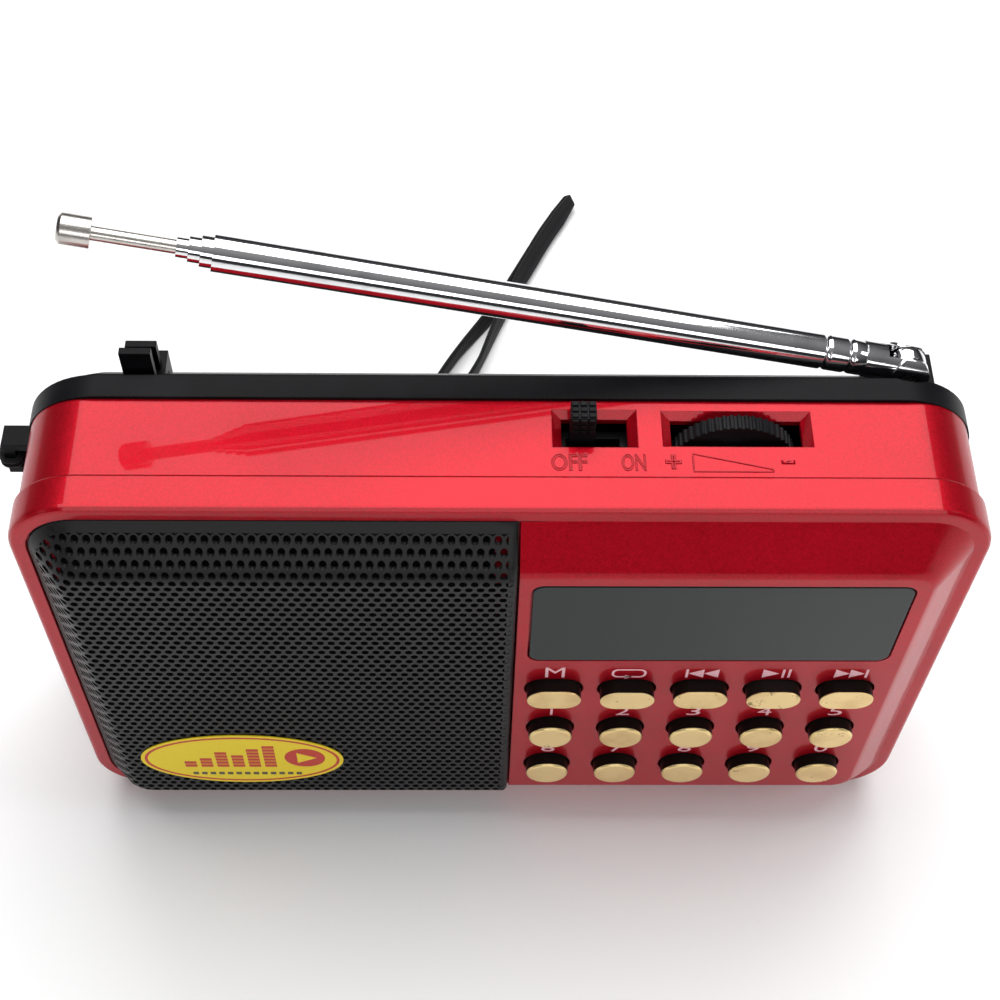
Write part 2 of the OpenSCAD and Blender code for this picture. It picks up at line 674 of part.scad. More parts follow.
// A function key, wider than it is high.
module pill_key(col) color(gold) {
    plate(key_cols[col] - pill_w / 2, key_cols[col] + pill_w / 2, row_z[0] - pill_h / 2,
        row_z[0] + pill_h / 2,
        key_front_y, key_flange_y, pill_h / 2 - e);
    plate(key_cols[col] - pill_w / 2 - key_flange, key_cols[col] + pill_w / 2 + key_flange,
        row_z[0] - pill_h / 2 - key_flange,
        row_z[0] + pill_h / 2 + key_flange, key_flange_y, key_back_y, pill_h / 2);
}

module slide_switch_body() color(steel) {
    difference() {
        block([switch_x - switch_body_w / 2, control_y - 2.1, switch_body_z0],
            [switch_x + switch_body_w / 2, control_y + 2.1, switch_body_z1]);
        block([switch_x - (knob_w + switch_travel) / 2 - 0.3, control_y - 1, switch_body_z1 - 1.6],
            [switch_x + (knob_w + switch_travel) / 2 + 0.3, control_y + 1, switch_body_z1 + 1]);
    }
    for (i = [-1:1]) bar_y(switch_x + 2.5 * i, switch_body_z0 + 1.4, 0.35, board_back_y, control_y - 2.1 + e);
}

module slide_switch_knob() color(cover_black) {
    block([knob_rest_x - knob_w / 2, control_y - knob_d / 2, switch_body_z1 + 0.3],
        [knob_rest_x + knob_w / 2, control_y + knob_d / 2, body_h + knob_proud]);
    block([knob_rest_x - knob_w / 2 + 0.3, control_y - 0.8, switch_body_z1 - 1.4],
        [knob_rest_x + knob_w / 2 - 0.3, control_y + 0.8, switch_body_z1 + 0.3 + e]);
}

module volume_pot_body() color(steel)
    difference() {
        bar_y(wheel_x, wheel_z, pot_r, pot_front_y, pot_back_y);
        bar_y(wheel_x, wheel_z, pot_shaft_r + run_gap, pot_front_y + 1, pot_back_y + e);
    }

module volume_pot_shaft() color(steel) {
    difference() {
        bar_y(wheel_x, wheel_z, pot_shaft_r, pot_front_y + 1.3, wheel_y + wheel_t);
        bar_y(wheel_x, wheel_z, 0.8, wheel_y - 1.6, wheel_y + wheel_t + e);
    }
}

module volume_wheel() color([0.13, 0.13, 0.14]) {
    ribs = 54;
    rib = 0.22;
    difference() {
        front_extrude(wheel_y, wheel_y + wheel_t) translate([wheel_x, wheel_z])
            polygon([for (i = [0:ribs - 1], k = [0:3])
                let (a = 360 * (i + [0.08, 0.18, 0.58, 0.68][k]) / ribs,
                    r = wheel_d / 2 - (k == 1 || k == 2 ? 0 : rib))
                r * [cos(a), sin(a)]]);
        bar_y(wheel_x, wheel_z, pot_shaft_r, wheel_y - 1, wheel_y + wheel_t + 1);
    }
}

module wheel_screw() color(steel) {
    bar_y(wheel_x, wheel_z, 1.8, wheel_y + wheel_t, wheel_y + wheel_t + 0.9);
    bar_y(wheel_x, wheel_z, 0.78, wheel_y - 1.5, wheel_y + wheel_t + e);
}

// ---------------------------------------------------------------- antenna

// Places children built along -X from the hinge.
module antenna_frame() {
    translate([pivot_x, pivot_y, pivot_z]) rotate([0, antenna_rest, 0]) children();
}

// A round bar along the antenna from one distance to another.
module along(d0, d1, r) {
    translate([-d0, 0, 0]) rotate([0, -90, 0]) cylinder(r = r, h = d1 - d0);
}

module antenna_swivel() color(steel) {
    translate([pivot_x, pivot_y, pivot_z]) {
        difference() {
            union() {
                rotate([90, 0, 0]) translate([0, 0, -tongue_t / 2]) cylinder(r = clevis_end_r - 0.1,
                    h = tongue_t);
                translate([-clevis_end_r + 0.4, -tongue_t / 2, ledge_z - pivot_z - 0.4])
                    cube([2 * clevis_end_r - 0.8, tongue_t, pivot_z - ledge_z + 0.4]);
                translate([0, 0, ledge_z - swivel_disc_t - pivot_z]) cylinder(r = swivel_r,
                    h = swivel_disc_t);
                translate([0, 0, ledge_z - swivel_disc_t - 2.2 - pivot_z]) cylinder(r = swivel_post_r,
                    h = 2.3);
            }
            rotate([90, 0, 0]) translate([0, 0, -5]) cylinder(r = pin_d / 2 + run_gap, h = 10);
            translate([0, 0, ledge_z - swivel_disc_t - 2.3 - pivot_z]) cylinder(r = 0.8, h = 3);
        }
    }
}

module antenna_screw() color(steel)
    translate([pivot_x, pivot_y, ledge_z - swivel_disc_t - 2.2]) {
        translate([0, 0, -1]) cylinder(r = 2.3, h = 1);
        translate([0, 0, -e]) cylinder(r = 0.78, h = 2.6);
    }

module antenna_clevis() color(steel)
    antenna_frame() difference() {
        union() {
            intersection() {
                union() {
                    along(0, tube_start[0], antenna_d / 2 + 0.1);
                    rotate([90, 0, 0]) translate([0, 0, -4]) cylinder(r = clevis_end_r, h = 8);
                }
                rotate([0, 90, 0]) translate([0, 0, -20]) cylinder(r = clevis_end_r, h = 40);
                block([-20, -antenna_d / 2 - 0.1, -5], [20, antenna_d / 2 + 0.1, 5]);
            }
            along(tube_start[0] - e, tube_start[0] + clevis_plug, tube_id[0] / 2 - 0.01);
        }
        block([-3.4, -clevis_slot / 2, -5], [5, clevis_slot / 2, 5]);
        rotate([90, 0, 0]) translate([0, 0, -5]) cylinder(r = pin_d / 2 + 0.005, h = 10);
    }

module antenna_pin() color(steel)
    antenna_frame() rotate([90, 0, 0]) translate([0, 0, -antenna_d / 2 + 0.1]) cylinder(r = pin_d / 2,
        h = antenna_d - 0.2);

// One hollow antenna section; the outermost one has two crimped grooves.
module antenna_tube(i) color(steel)
    antenna_frame() difference() {
        along(tube_start[i], tube_end[i], tube_od[i] / 2);
        along(tube_start[i] - 1, tube_end[i] + 1, tube_id[i] / 2);
        if (i == 0) for (d = [8.2, 11.4]) translate([-d, 0, 0]) rotate([0, 90, 0]) rotate_extrude()
            translate([antenna_d / 2 + 0.35, 0]) circle(r = 0.55, $fn = 24);
    }

module antenna_rod() color(steel)
    antenna_frame() {
        along(17.5, antenna_len - cap_len + e, rod_d / 2);
        along(antenna_len - cap_len, antenna_len - 0.4, cap_d / 2);
        translate([-antenna_len + 0.4, 0, 0]) rotate([0, -90, 0]) cylinder(r1 = cap_d / 2,
            r2 = cap_d / 2 - 0.4, h = 0.4);
    }

// ---------------------------------------------------------------- battery, sockets, screws

module battery_pack() color([0.15, 0.3, 0.6])
    plate(battery_x - battery_w / 2, battery_x + battery_w / 2, battery_z0, battery_z0 + battery_h,
        battery_y1 - battery_t, battery_y1, 2);

module battery_contacts() color(gold)
    for (i = [-1:1]) block([battery_x + 5 * i - 1, battery_y1 - 4, battery_z0 + battery_h + 0.05],
        [battery_x + 5 * i + 1, battery_y1 - 2, pocket_z1]);

module usb_socket() color(steel)
    difference() {
        block([socket_out_x - usb_len, board_back_y, usb_z - usb_w / 2], [socket_out_x,
            board_back_y + usb_t, usb_z + usb_w / 2]);
        difference() {
            block([socket_out_x - usb_len + 4.6, board_back_y + 0.3, usb_z - usb_w / 2 + 0.3],
                [socket_out_x + 1, board_back_y + usb_t - 0.3, usb_z + usb_w / 2 - 0.3]);
            // tongue that carries the contacts
            block([socket_out_x - usb_len, board_back_y + 0.9, usb_z - 5.6],
                [socket_out_x - 0.6, board_back_y + 2.7, usb_z + 5.6]);
        }
    }

module charge_socket() color(steel)
    difference() {
        block([socket_out_x - 6, board_back_y, charge_z - 3.8], [socket_out_x, board_back_y + 3,
            charge_z + 3.8]);
        block([socket_out_x - 5, board_back_y + 0.4, charge_z - 3.4], [socket_out_x + 1,
            board_back_y + 2.6, charge_z + 3.4]);
    }

module card_socket() color(steel)
    difference() {
        block([socket_out_x - 14, board_back_y, card_z - 6], [socket_out_x, board_back_y + 1.7, card_z + 6]);
        block([socket_out_x - 13, board_back_y + 0.3, card_z - 5.6], [socket_out_x + 1, board_back_y + 1.3,
            card_z + 5.6]);
    }

module headphone_jack() color([0.1, 0.1, 0.1])
    difference() {
        union() {
            block([inner_side_x - 12, board_back_y, jack_z - 3], [inner_side_x - 0.2, board_back_y + 6,
                jack_z + 3]);
            translate([inner_side_x - 0.3, board_back_y + 3, jack_z]) rotate([0, 90, 0]) cylinder(r = 2.9,
                h = wall + 0.1);
        }
        translate([inner_side_x - 11, board_back_y + 3, jack_z]) rotate([0, 90, 0]) cylinder(r = 1.8, h = 20);
    }

// A pan head screw along -Y, with its head's seat at y.
module screw(x, z, y, len) {
    difference() {
        bar_y(x, z, head_r, y, y + head_t);
        for (a = [0, 90]) translate([x, y + head_t, z]) rotate([0, a, 0]) cube([2.4, 1.2, 0.5],
            center = true);
    }
    bar_y(x, z, screw_r, y - len, y + e);
}

module case_screws() color(steel)
    for (s = boss_spots) screw(s[0], s[1], back_y - counterbore_depth, 14);

module board_screws() color(steel)
    for (s = board_boss_spots) screw(s[0], s[1], board_back_y, 5.6);

module front_sticker() color([0.95, 0.8, 0.1])
    translate([sticker_x, panel_y - grille_t, sticker_z]) rotate([90, 0, 0])
        linear_extrude(sticker_t) polygon([for (a = [0:6:354]) [sticker_w / 2 * cos(a),
            sticker_h / 2 * sin(a)]]);

// ---------------------------------------------------------------- strap

module strap_cord() color([0.06, 0.06, 0.07]) tube(cord_route, loop_d);

module strap_connector() color([0.08, 0.08, 0.09])
    translate(connector_a) rotate([0, 0, atan2(connector_b.y - connector_a.y, connector_b.x - connector_a.x)])
        translate([0, -1.8, -1.9]) cube([norm(connector_b - connector_a), 3.6, 3.8]);

module strap_webbing() color([0.06, 0.06, 0.07]) tube(webbing_route, webbing_w);

// ---------------------------------------------------------------- nodes

front_shell();
back_cover();
battery_door();
speaker_grille();
grille_felt();
speaker_basket();
speaker_cone();
speaker_magnet();
main_board();
tact_switches();
display_lens();
display_module();
pill_key(0);  // key_mode
pill_key(1);  // key_repeat
pill_key(2);  // key_previous
pill_key(3);  // key_play
pill_key(4);  // key_next
round_key(0, 1);  // key_1
round_key(1, 1);  // key_2
round_key(2, 1);  // key_3
round_key(3, 1);  // key_4
round_key(4, 1);  // key_5
round_key(0, 2);  // key_6
round_key(1, 2);  // key_7
round_key(2, 2);  // key_8
round_key(3, 2);  // key_9
round_key(4, 2);  // key_0
slide_switch_body();
slide_switch_knob();
volume_pot_body();
volume_pot_shaft();
volume_wheel();
wheel_screw();
antenna_swivel();
antenna_screw();
antenna_clevis();
antenna_pin();
antenna_tube(0);  // antenna_tube_1
antenna_tube(1);  // antenna_tube_2
antenna_tube(2);  // antenna_tube_3
antenna_tube(3);  // antenna_tube_4
antenna_rod();
battery_pack();
battery_contacts();
usb_socket();
card_socket();
headphone_jack();
charge_socket();
case_screws();
board_screws();
front_sticker();
strap_cord();
strap_connector();
strap_webbing();
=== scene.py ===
"""Looks of a pocket FM radio and music player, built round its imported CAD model.

Everything is in metres in the CAD frame: X to the right, Y to the back, Z up, the origin on the
table under the middle of the body.
"""

import json
import logging
import math
import random
from dataclasses import dataclass, field
from enum import Enum
from typing import Any, Callable, Dict, List, Optional, Sequence, Tuple, Union

import bmesh
import bpy
from mathutils import Matrix, Vector

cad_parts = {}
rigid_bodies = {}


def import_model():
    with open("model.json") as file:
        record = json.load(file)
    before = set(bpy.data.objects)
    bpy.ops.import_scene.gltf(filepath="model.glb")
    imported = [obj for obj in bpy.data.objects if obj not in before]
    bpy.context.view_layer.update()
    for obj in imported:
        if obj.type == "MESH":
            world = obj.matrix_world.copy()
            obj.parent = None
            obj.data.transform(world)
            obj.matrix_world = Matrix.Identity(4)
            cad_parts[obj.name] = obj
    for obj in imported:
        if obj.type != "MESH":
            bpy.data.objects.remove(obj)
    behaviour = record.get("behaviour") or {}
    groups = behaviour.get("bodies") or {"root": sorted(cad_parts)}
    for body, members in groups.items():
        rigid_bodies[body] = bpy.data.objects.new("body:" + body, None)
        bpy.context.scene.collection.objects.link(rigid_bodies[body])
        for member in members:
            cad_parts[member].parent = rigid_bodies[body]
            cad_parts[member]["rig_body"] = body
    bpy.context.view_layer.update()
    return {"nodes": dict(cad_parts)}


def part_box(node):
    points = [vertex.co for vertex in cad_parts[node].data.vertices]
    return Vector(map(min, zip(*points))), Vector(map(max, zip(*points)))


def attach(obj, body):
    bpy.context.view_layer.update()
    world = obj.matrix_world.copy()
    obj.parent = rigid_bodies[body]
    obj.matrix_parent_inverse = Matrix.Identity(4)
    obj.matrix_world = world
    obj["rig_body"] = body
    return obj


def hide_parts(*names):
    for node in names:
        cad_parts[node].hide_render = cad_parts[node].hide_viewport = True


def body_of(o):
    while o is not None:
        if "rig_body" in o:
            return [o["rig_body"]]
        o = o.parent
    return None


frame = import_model()

LOG = logging.getLogger("radio")
MM = 0.001

Colour = Tuple[float, float, float]
Point = Tuple[float, float, float]
Flat = Tuple[float, float]


# ---------------------------------------------------------------- node trees


class Sock:
    """A socket of a node tree that takes part in Python arithmetic."""

    def __init__(self, tree: "Tree", socket: bpy.types.NodeSocket) -> None:
        """Args:
            tree: the tree that new Math nodes go into.
            socket: the output socket that this value comes from.
        """
        self.tree = tree
        self.socket = socket

    def __add__(self, other: "Value") -> "Sock":
        """Sum."""
        return self.tree.maths("ADD", self, other)

    def __radd__(self, other: "Value") -> "Sock":
        """Sum with the number first."""
        return self.tree.maths("ADD", other, self)

    def __sub__(self, other: "Value") -> "Sock":
        """Difference."""
        return self.tree.maths("SUBTRACT", self, other)

    def __rsub__(self, other: "Value") -> "Sock":
        """Difference with the number first."""
        return self.tree.maths("SUBTRACT", other, self)

    def __mul__(self, other: "Value") -> "Sock":
        """Product."""
        return self.tree.maths("MULTIPLY", self, other)

    def __rmul__(self, other: "Value") -> "Sock":
        """Product with the number first."""
        return self.tree.maths("MULTIPLY", other, self)

    def __truediv__(self, other: "Value") -> "Sock":
        """Quotient."""
        return self.tree.maths("DIVIDE", self, other)

    def __abs__(self) -> "Sock":
        """Size without its sign."""
        return self.tree.maths("ABSOLUTE", self)

    def __lt__(self, other: "Value") -> "Sock":
        """1 where this value is the smaller one."""
        return self.tree.maths("LESS_THAN", self, other)

    def __gt__(self, other: "Value") -> "Sock":
        """1 where this value is the larger one."""
        return self.tree.maths("GREATER_THAN", self, other)

    def least(self, other: "Value") -> "Sock":
        """The smaller of two values."""
        return self.tree.maths("MINIMUM", self, other)

    def most(self, other: "Value") -> "Sock":
        """The larger of two values."""
        return self.tree.maths("MAXIMUM", self, other)

    def root(self) -> "Sock":
        """Square root."""
        return self.tree.maths("SQRT", self)


Value = Union[Sock, float]


class Tree:
    """A shader or geometry node tree that is filled by Python expressions."""

    def __init__(self, tree: bpy.types.NodeTree) -> None:
        """Args:
            tree: an empty node tree.
        """
        self.tree = tree

    def node(self, kind: str, settings: Optional[Dict[str, Any]] = None,
             inputs: Optional[Dict[Any, Any]] = None) -> bpy.types.Node:
        """Adds one node.

        Args:
            kind: the node's type name.
            settings: its properties, set before its sockets; "stops" fills a colour ramp.
            inputs: a value or a Sock for each input, by name or number.

        Returns:
            The new node.
        """
        node = self.tree.nodes.new(kind)
        for key, value in (settings or {}).items():
            if key == "stops":
                ramp = node.color_ramp.elements
                while len(ramp) < len(value):
                    ramp.new(0.5)
                for element, (place, colour) in zip(ramp, value):
                    element.position = place
                    element.color = (*colour, 1)
            else:
                setattr(node, key, value)
        for key, value in (inputs or {}).items():
            if isinstance(value, Sock):
                self.tree.links.new(value.socket, node.inputs[key])
            else:
                node.inputs[key].default_value = value
        return node

    def out(self, kind: str, name: Any = 0, settings: Optional[Dict[str, Any]] = None,
            inputs: Optional[Dict[Any, Any]] = None) -> Sock:
        """Adds one node and gives one of its outputs.

        Args:
            kind: the node's type name.
            name: the output's name or number.
            settings: its properties.
            inputs: its inputs.

        Returns:
            The output as a Sock.
        """
        return Sock(self, self.node(kind, settings, inputs).outputs[name])

    def maths(self, operation: str, *values: Value) -> Sock:
        """A Math node.

        Args:
            operation: its operation.
            values: one to three values.

        Returns:
            Its result.
        """
        return self.out("ShaderNodeMath", 0, {"operation": operation}, dict(enumerate(values)))

    def place(self) -> Sock:
        """The point on the piece, in the piece's own space."""
        return self.out("ShaderNodeTexCoord", "Object")

    def mixed(self, low: Union[Colour, Sock], high: Union[Colour, Sock], mask: Value) -> Sock:
        """A colour between two others.

        Args:
            low: the colour where the mask is 0.
            high: the colour where the mask is 1.
            mask: how much of the second colour shows.

        Returns:
            The mixed colour.
        """
        node = self.node("ShaderNodeMix", {"data_type": "RGBA"}, {0: mask})
        for index, colour in ((6, low), (7, high)):
            if isinstance(colour, Sock):
                self.tree.links.new(colour.socket, node.inputs[index])
            else:
                node.inputs[index].default_value = (*colour, 1)
        return Sock(self, node.outputs[2])

    def noise(self, scale: float, detail: float = 3, where: Optional[Sock] = None) -> Sock:
        """Even noise from 0 to 1.

        Args:
            scale: lumps for each metre.
            detail: octaves.
            where: the point, or the piece's own space.

        Returns:
            The noise value.
        """
        return self.out("ShaderNodeTexNoise", 0, {}, {
            "Vector": where or self.place(), "Scale": scale, "Detail": detail})

    def step(self, value: Sock, low: float, high: float) -> Sock:
        """A soft step.

        Args:
            value: what is tested.
            low: where the step starts.
            high: where it ends.

        Returns:
            0 below the step and 1 above it.
        """
        return self.out("ShaderNodeMapRange", 0, {"interpolation_type": "SMOOTHSTEP", "clamp": True}, {
            "Value": value, "From Min": low, "From Max": high})

    def bump(self, height: Sock, depth: float, under: Optional[Sock] = None) -> Sock:
        """A normal that follows a height.

        Args:
            height: the height from 0 to 1.
            depth: the real depth in metres.
            under: a normal that this one is laid over.

        Returns:
            The normal.
        """
        inputs: Dict[Any, Any] = {"Height": height, "Distance": depth, "Strength": 1.0}
        if under is not None:
            inputs["Normal"] = under
        return self.out("ShaderNodeBump", 0, {}, inputs)


# ---------------------------------------------------------------- finishes


@dataclass(frozen=True)
class Finish:
    """A surface finish; each kind paints its own shader.

    Attributes:
        name: the material's name.
    """

    name: str

    def steady(self) -> Dict[str, Any]:
        """Values that are the same all over the surface."""
        return {}

    def paint(self, tree: Tree) -> Dict[str, Sock]:
        """Values that change over the surface.

        Args:
            tree: the material's tree.

        Returns:
            A Sock for each shader input.
        """
        return {}

    def material(self) -> bpy.types.Material:
        """The material, made once.

        Returns:
            The material with its nodes.
        """
        known = bpy.data.materials.get(self.name)
        if known:
            return known
        material = bpy.data.materials.new(self.name)
        material.use_nodes = True
        material.node_tree.nodes.clear()
        tree = Tree(material.node_tree)
        shader = tree.node("ShaderNodeBsdfPrincipled", {}, {**self.steady(), **self.paint(tree)})
        tree.node("ShaderNodeOutputMaterial", {}, {"Surface": Sock(tree, shader.outputs[0])})
        return material


@dataclass(frozen=True)
class Lacquer(Finish):
    """Candy lacquer over metallic flake.

    Attributes:
        deep: colour between the flakes.
        bright: colour of the flakes.
        flakes: flakes for each metre.
        edge: radius of the softened edges in metres.
    """

    deep: Colour = (0.25, 0.001, 0.005)
    bright: Colour = (0.53, 0.002, 0.015)
    flakes: float = 7000
    edge: float = 0.22 * MM

    def steady(self) -> Dict[str, Any]:
        """Clear coat and metal."""
        return {"Metallic": 0.6, "Specular IOR Level": 0.1, "Coat Weight": 0.42, "Coat Roughness": 0.035,
                "Coat IOR": 1.45}

    def paint(self, tree: Tree) -> Dict[str, Sock]:
        """Flakes, a little orange peel and soft edges."""
        where = tree.place()
        grain = tree.out("ShaderNodeTexVoronoi", "Color", {}, {"Vector": where, "Scale": self.flakes})
        flake = tree.out("ShaderNodeSeparateColor", 0, {}, {0: grain})
        cloud = tree.noise(60, 2, where)
        base = tree.mixed(self.deep, self.bright, flake * 0.55 + cloud * 0.45)
        soft = tree.out("ShaderNodeBevel", 0, {"samples": 4}, {"Radius": self.edge})
        peel = tree.noise(420, 2, where)
        normal = tree.bump(peel, 0.006 * MM, soft)
        return {"Base Color": base, "Roughness": 0.36 + 0.12 * flake, "Normal": normal}


@dataclass(frozen=True)
class Moulded(Finish):
    """Moulded plastic with a fine eroded texture.

    Attributes:
        colour: its colour.
        rough: its middle roughness.
        grain: lumps of the texture for each metre.
        depth: depth of the texture in metres.
        edge: radius of the softened edges in metres.
    """

    colour: Colour = (0.0045, 0.0045, 0.0055)
    rough: float = 0.38
    grain: float = 3000
    depth: float = 0.012 * MM
    edge: float = 0.2 * MM

    def steady(self) -> Dict[str, Any]:
        """A plastic's reflection."""
        return {"IOR": 1.45, "Specular IOR Level": 0.08}

    def paint(self, tree: Tree) -> Dict[str, Sock]:
        """Texture, handling marks and soft edges."""
        where = tree.place()
        wear = tree.noise(90, 4, where)
        pale = tuple(min(1.0, c * 1.6 + 0.002) for c in self.colour)
        soft = tree.out("ShaderNodeBevel", 0, {"samples": 4}, {"Radius": self.edge})
        return {
            "Base Color": tree.mixed(self.colour, pale, tree.step(wear, 0.45, 0.8)),
            "Roughness": self.rough - 0.06 + 0.12 * wear,
            "Normal": tree.bump(tree.noise(self.grain, 2, where), self.depth, soft)}


@dataclass(frozen=True)
class PaintedSteel(Finish):
    """Stove-painted steel with a few pale specks of dust.

    Attributes:
        colour: colour of the paint.
        dust: colour of the specks.
        rough: roughness of the paint.
    """

    colour: Colour = (0.005, 0.005, 0.006)
    dust: Colour = (0.16, 0.15, 0.14)
    rough: float = 0.34

    def steady(self) -> Dict[str, Any]:
        """The paint's reflection."""
        return {"Specular IOR Level": 0.22}

    def paint(self, tree: Tree) -> Dict[str, Sock]:
        """Paint and dust."""
        where = tree.place()
        far = tree.out("ShaderNodeTexVoronoi", "Distance", {}, {"Vector": where, "Scale": 190.0})
        speck = 1 - tree.step(far, 0.0, 0.035)
        film = tree.noise(1500, 3, where)
        return {
            "Base Color": tree.mixed(self.colour, self.dust, (speck * 0.7 + film * 0.05).least(1.0)),
            "Roughness": self.rough + 0.14 * film + 0.3 * speck,
            "Normal": tree.bump(film, 0.008 * MM)}


@dataclass(frozen=True)
class Plated(Finish):
    """Bright plated metal with fine drawing lines.

    Attributes:
        colour: colour of the metal.
        rough: its least roughness.
        streak: how much the drawing lines add.
    """

    colour: Colour = (0.80, 0.80, 0.81)
    rough: float = 0.05
    streak: float = 0.08

    def steady(self) -> Dict[str, Any]:
        """Metal."""
        return {"Metallic": 1.0}

    def paint(self, tree: Tree) -> Dict[str, Sock]:
        """Drawing lines and faint stains."""
        where = tree.place()
        long = tree.out("ShaderNodeMapping", 0, {}, {"Vector": where, "Scale": (60, 5000, 5000)})
        line = tree.noise(1.0, 2, long)
        stain = tree.noise(250, 4, where)
        dull = tuple(c * 0.82 for c in self.colour)
        return {
            "Base Color": tree.mixed(self.colour, dull, tree.step(stain, 0.5, 0.75)),
            "Roughness": self.rough + self.streak * line * stain,
            "Normal": tree.bump(line, 0.0012 * MM)}


@dataclass(frozen=True)
class Foil(Finish):
    """Hot-stamped gold foil, worn through in specks.

    Attributes:
        gold: colour of the foil.
        under: colour of the plastic below.
        worn: how much of the foil is gone, from 0 to 1.
    """

    gold: Colour = (0.83, 0.63, 0.30)
    under: Colour = (0.30, 0.20, 0.07)
    worn: float = 0.1

    def paint(self, tree: Tree) -> Dict[str, Sock]:
        """Foil, its ripple and its wear."""
        where = tree.place()
        patch = tree.noise(520, 5, where)
        fine = tree.noise(2600, 3, where)
        gone = tree.step(patch * 0.6 + fine * 0.4, 0.66 - 0.2 * self.worn, 0.72 - 0.2 * self.worn)
        tarnish = tree.mixed(self.gold, (0.66, 0.46, 0.2), tree.step(tree.noise(160, 3, where), 0.4, 0.75))
        return {
            "Base Color": tree.mixed(tarnish, self.under, gone),
            "Metallic": 1 - 0.5 * gone,
            "Roughness": 0.26 + 0.1 * fine + 0.25 * gone,
            "Normal": tree.bump(fine - gone, 0.006 * MM)}


@dataclass(frozen=True)
class Smoked(Finish):
    """Smoked acrylic window with a dark display behind it.

    Attributes:
        near: colour at the left end.
        far: colour at the right end.
        left: X of the left end in metres.
        right: X of the right end in metres.
    """

    near: Colour = (0.018, 0.024, 0.024)
    far: Colour = (0.032, 0.036, 0.036)
    left: float = 0.004
    right: float = 0.05

    def steady(self) -> Dict[str, Any]:
        """The window's own reflection."""
        return {"IOR": 1.45, "Specular IOR Level": 0.2}

    def paint(self, tree: Tree) -> Dict[str, Sock]:
        """A slow change along its length and faint wipe marks."""
        where = tree.place()
        across = tree.out("ShaderNodeSeparateXYZ", 0, {}, {0: where})
        wipe = tree.noise(140, 4, where)
        along = tree.step(across + 0.004 * wipe, self.left, self.right)
        return {"Base Color": tree.mixed(self.near, self.far, along), "Roughness": 0.07 + 0.08 * wipe}


@dataclass(frozen=True)
class Ink(Finish):
    """Screen-printed ink or a printed label film.

    Attributes:
        colour: its colour.
        rough: its roughness.
        thin: colour where the ink lies thin.
        coat: clear film over it.
    """

    colour: Colour = (0.80, 0.46, 0.50)
    rough: float = 0.45
    thin: Colour = (0.62, 0.26, 0.30)
    coat: float = 0.0

    def steady(self) -> Dict[str, Any]:
        """The film over the ink."""
        return {"Coat Weight": self.coat, "Coat Roughness": 0.08}

    def paint(self, tree: Tree) -> Dict[str, Sock]:
        """Thin places."""
        grain = tree.noise(2200, 3)
        return {
            "Base Color": tree.mixed(self.colour, self.thin, tree.step(grain, 0.55, 0.8)),
            "Roughness": self.rough + 0.1 * grain}


@dataclass(frozen=True)
class Woven(Finish):
    """Woven nylon tape, read from the piece's own UV map: U round it, V along it in metres.

    Attributes:
        colour: colour of the yarn.
        pick: length of one weft pass in metres.
        ends: warp yarns round the tape.
    """

    colour: Colour = (0.004, 0.004, 0.0045)
    pick: float = 0.55 * MM
    ends: float = 18

    def steady(self) -> Dict[str, Any]:
        """The yarn's sheen."""
        return {"Sheen Weight": 0.08, "Sheen Roughness": 0.4, "Specular IOR Level": 0.15}

    def paint(self, tree: Tree) -> Dict[str, Sock]:
        """Crossing yarns, with painted shade in the gaps between them and the crests painted lighter."""
        seat = tree.out("ShaderNodeUVMap", 0, {"uv_map": "tape"})
        split = tree.node("ShaderNodeSeparateXYZ", {}, {0: seat})
        round_it, along = Sock(tree, split.outputs[0]), Sock(tree, split.outputs[1])
        warp = abs(tree.maths("SINE", round_it * (self.ends * math.pi)))
        weft = abs(tree.maths("SINE", along * (math.pi / self.pick) + round_it * (self.ends * math.pi)))
        yarn = warp * 0.5 + weft * 0.5
        # painted shade: the yarn colour is darker in the gaps and lighter on the crests, following the weave's own
        # height, on top of the bump
        pale = tuple(c * 3.2 for c in self.colour)
        return {
            "Base Color": tree.mixed(self.colour, pale, yarn),
            "Roughness": 0.78 - 0.12 * yarn,
            "Normal": tree.bump(yarn, 0.09 * MM)}


@dataclass(frozen=True)
class Laminate(Finish):
    """Circuit board under solder mask, with copper showing faintly.

    Attributes:
        mask: colour of the mask.
        copper: colour over copper.
    """

    mask: Colour = (0.008, 0.07, 0.03)
    copper: Colour = (0.02, 0.16, 0.06)

    def paint(self, tree: Tree) -> Dict[str, Sock]:
        """Tracks under the mask."""
        where = tree.place()
        far = tree.out("ShaderNodeTexVoronoi", "Distance", {"distance": "CHEBYCHEV"}, {
            "Vector": where, "Scale": 420.0})
        track = tree.step(far, 0.32, 0.38)
        return {
            "Base Color": tree.mixed(self.mask, self.copper, track),
            "Roughness": 0.32 + 0.1 * track,
            "Normal": tree.bump(track, 0.03 * MM)}


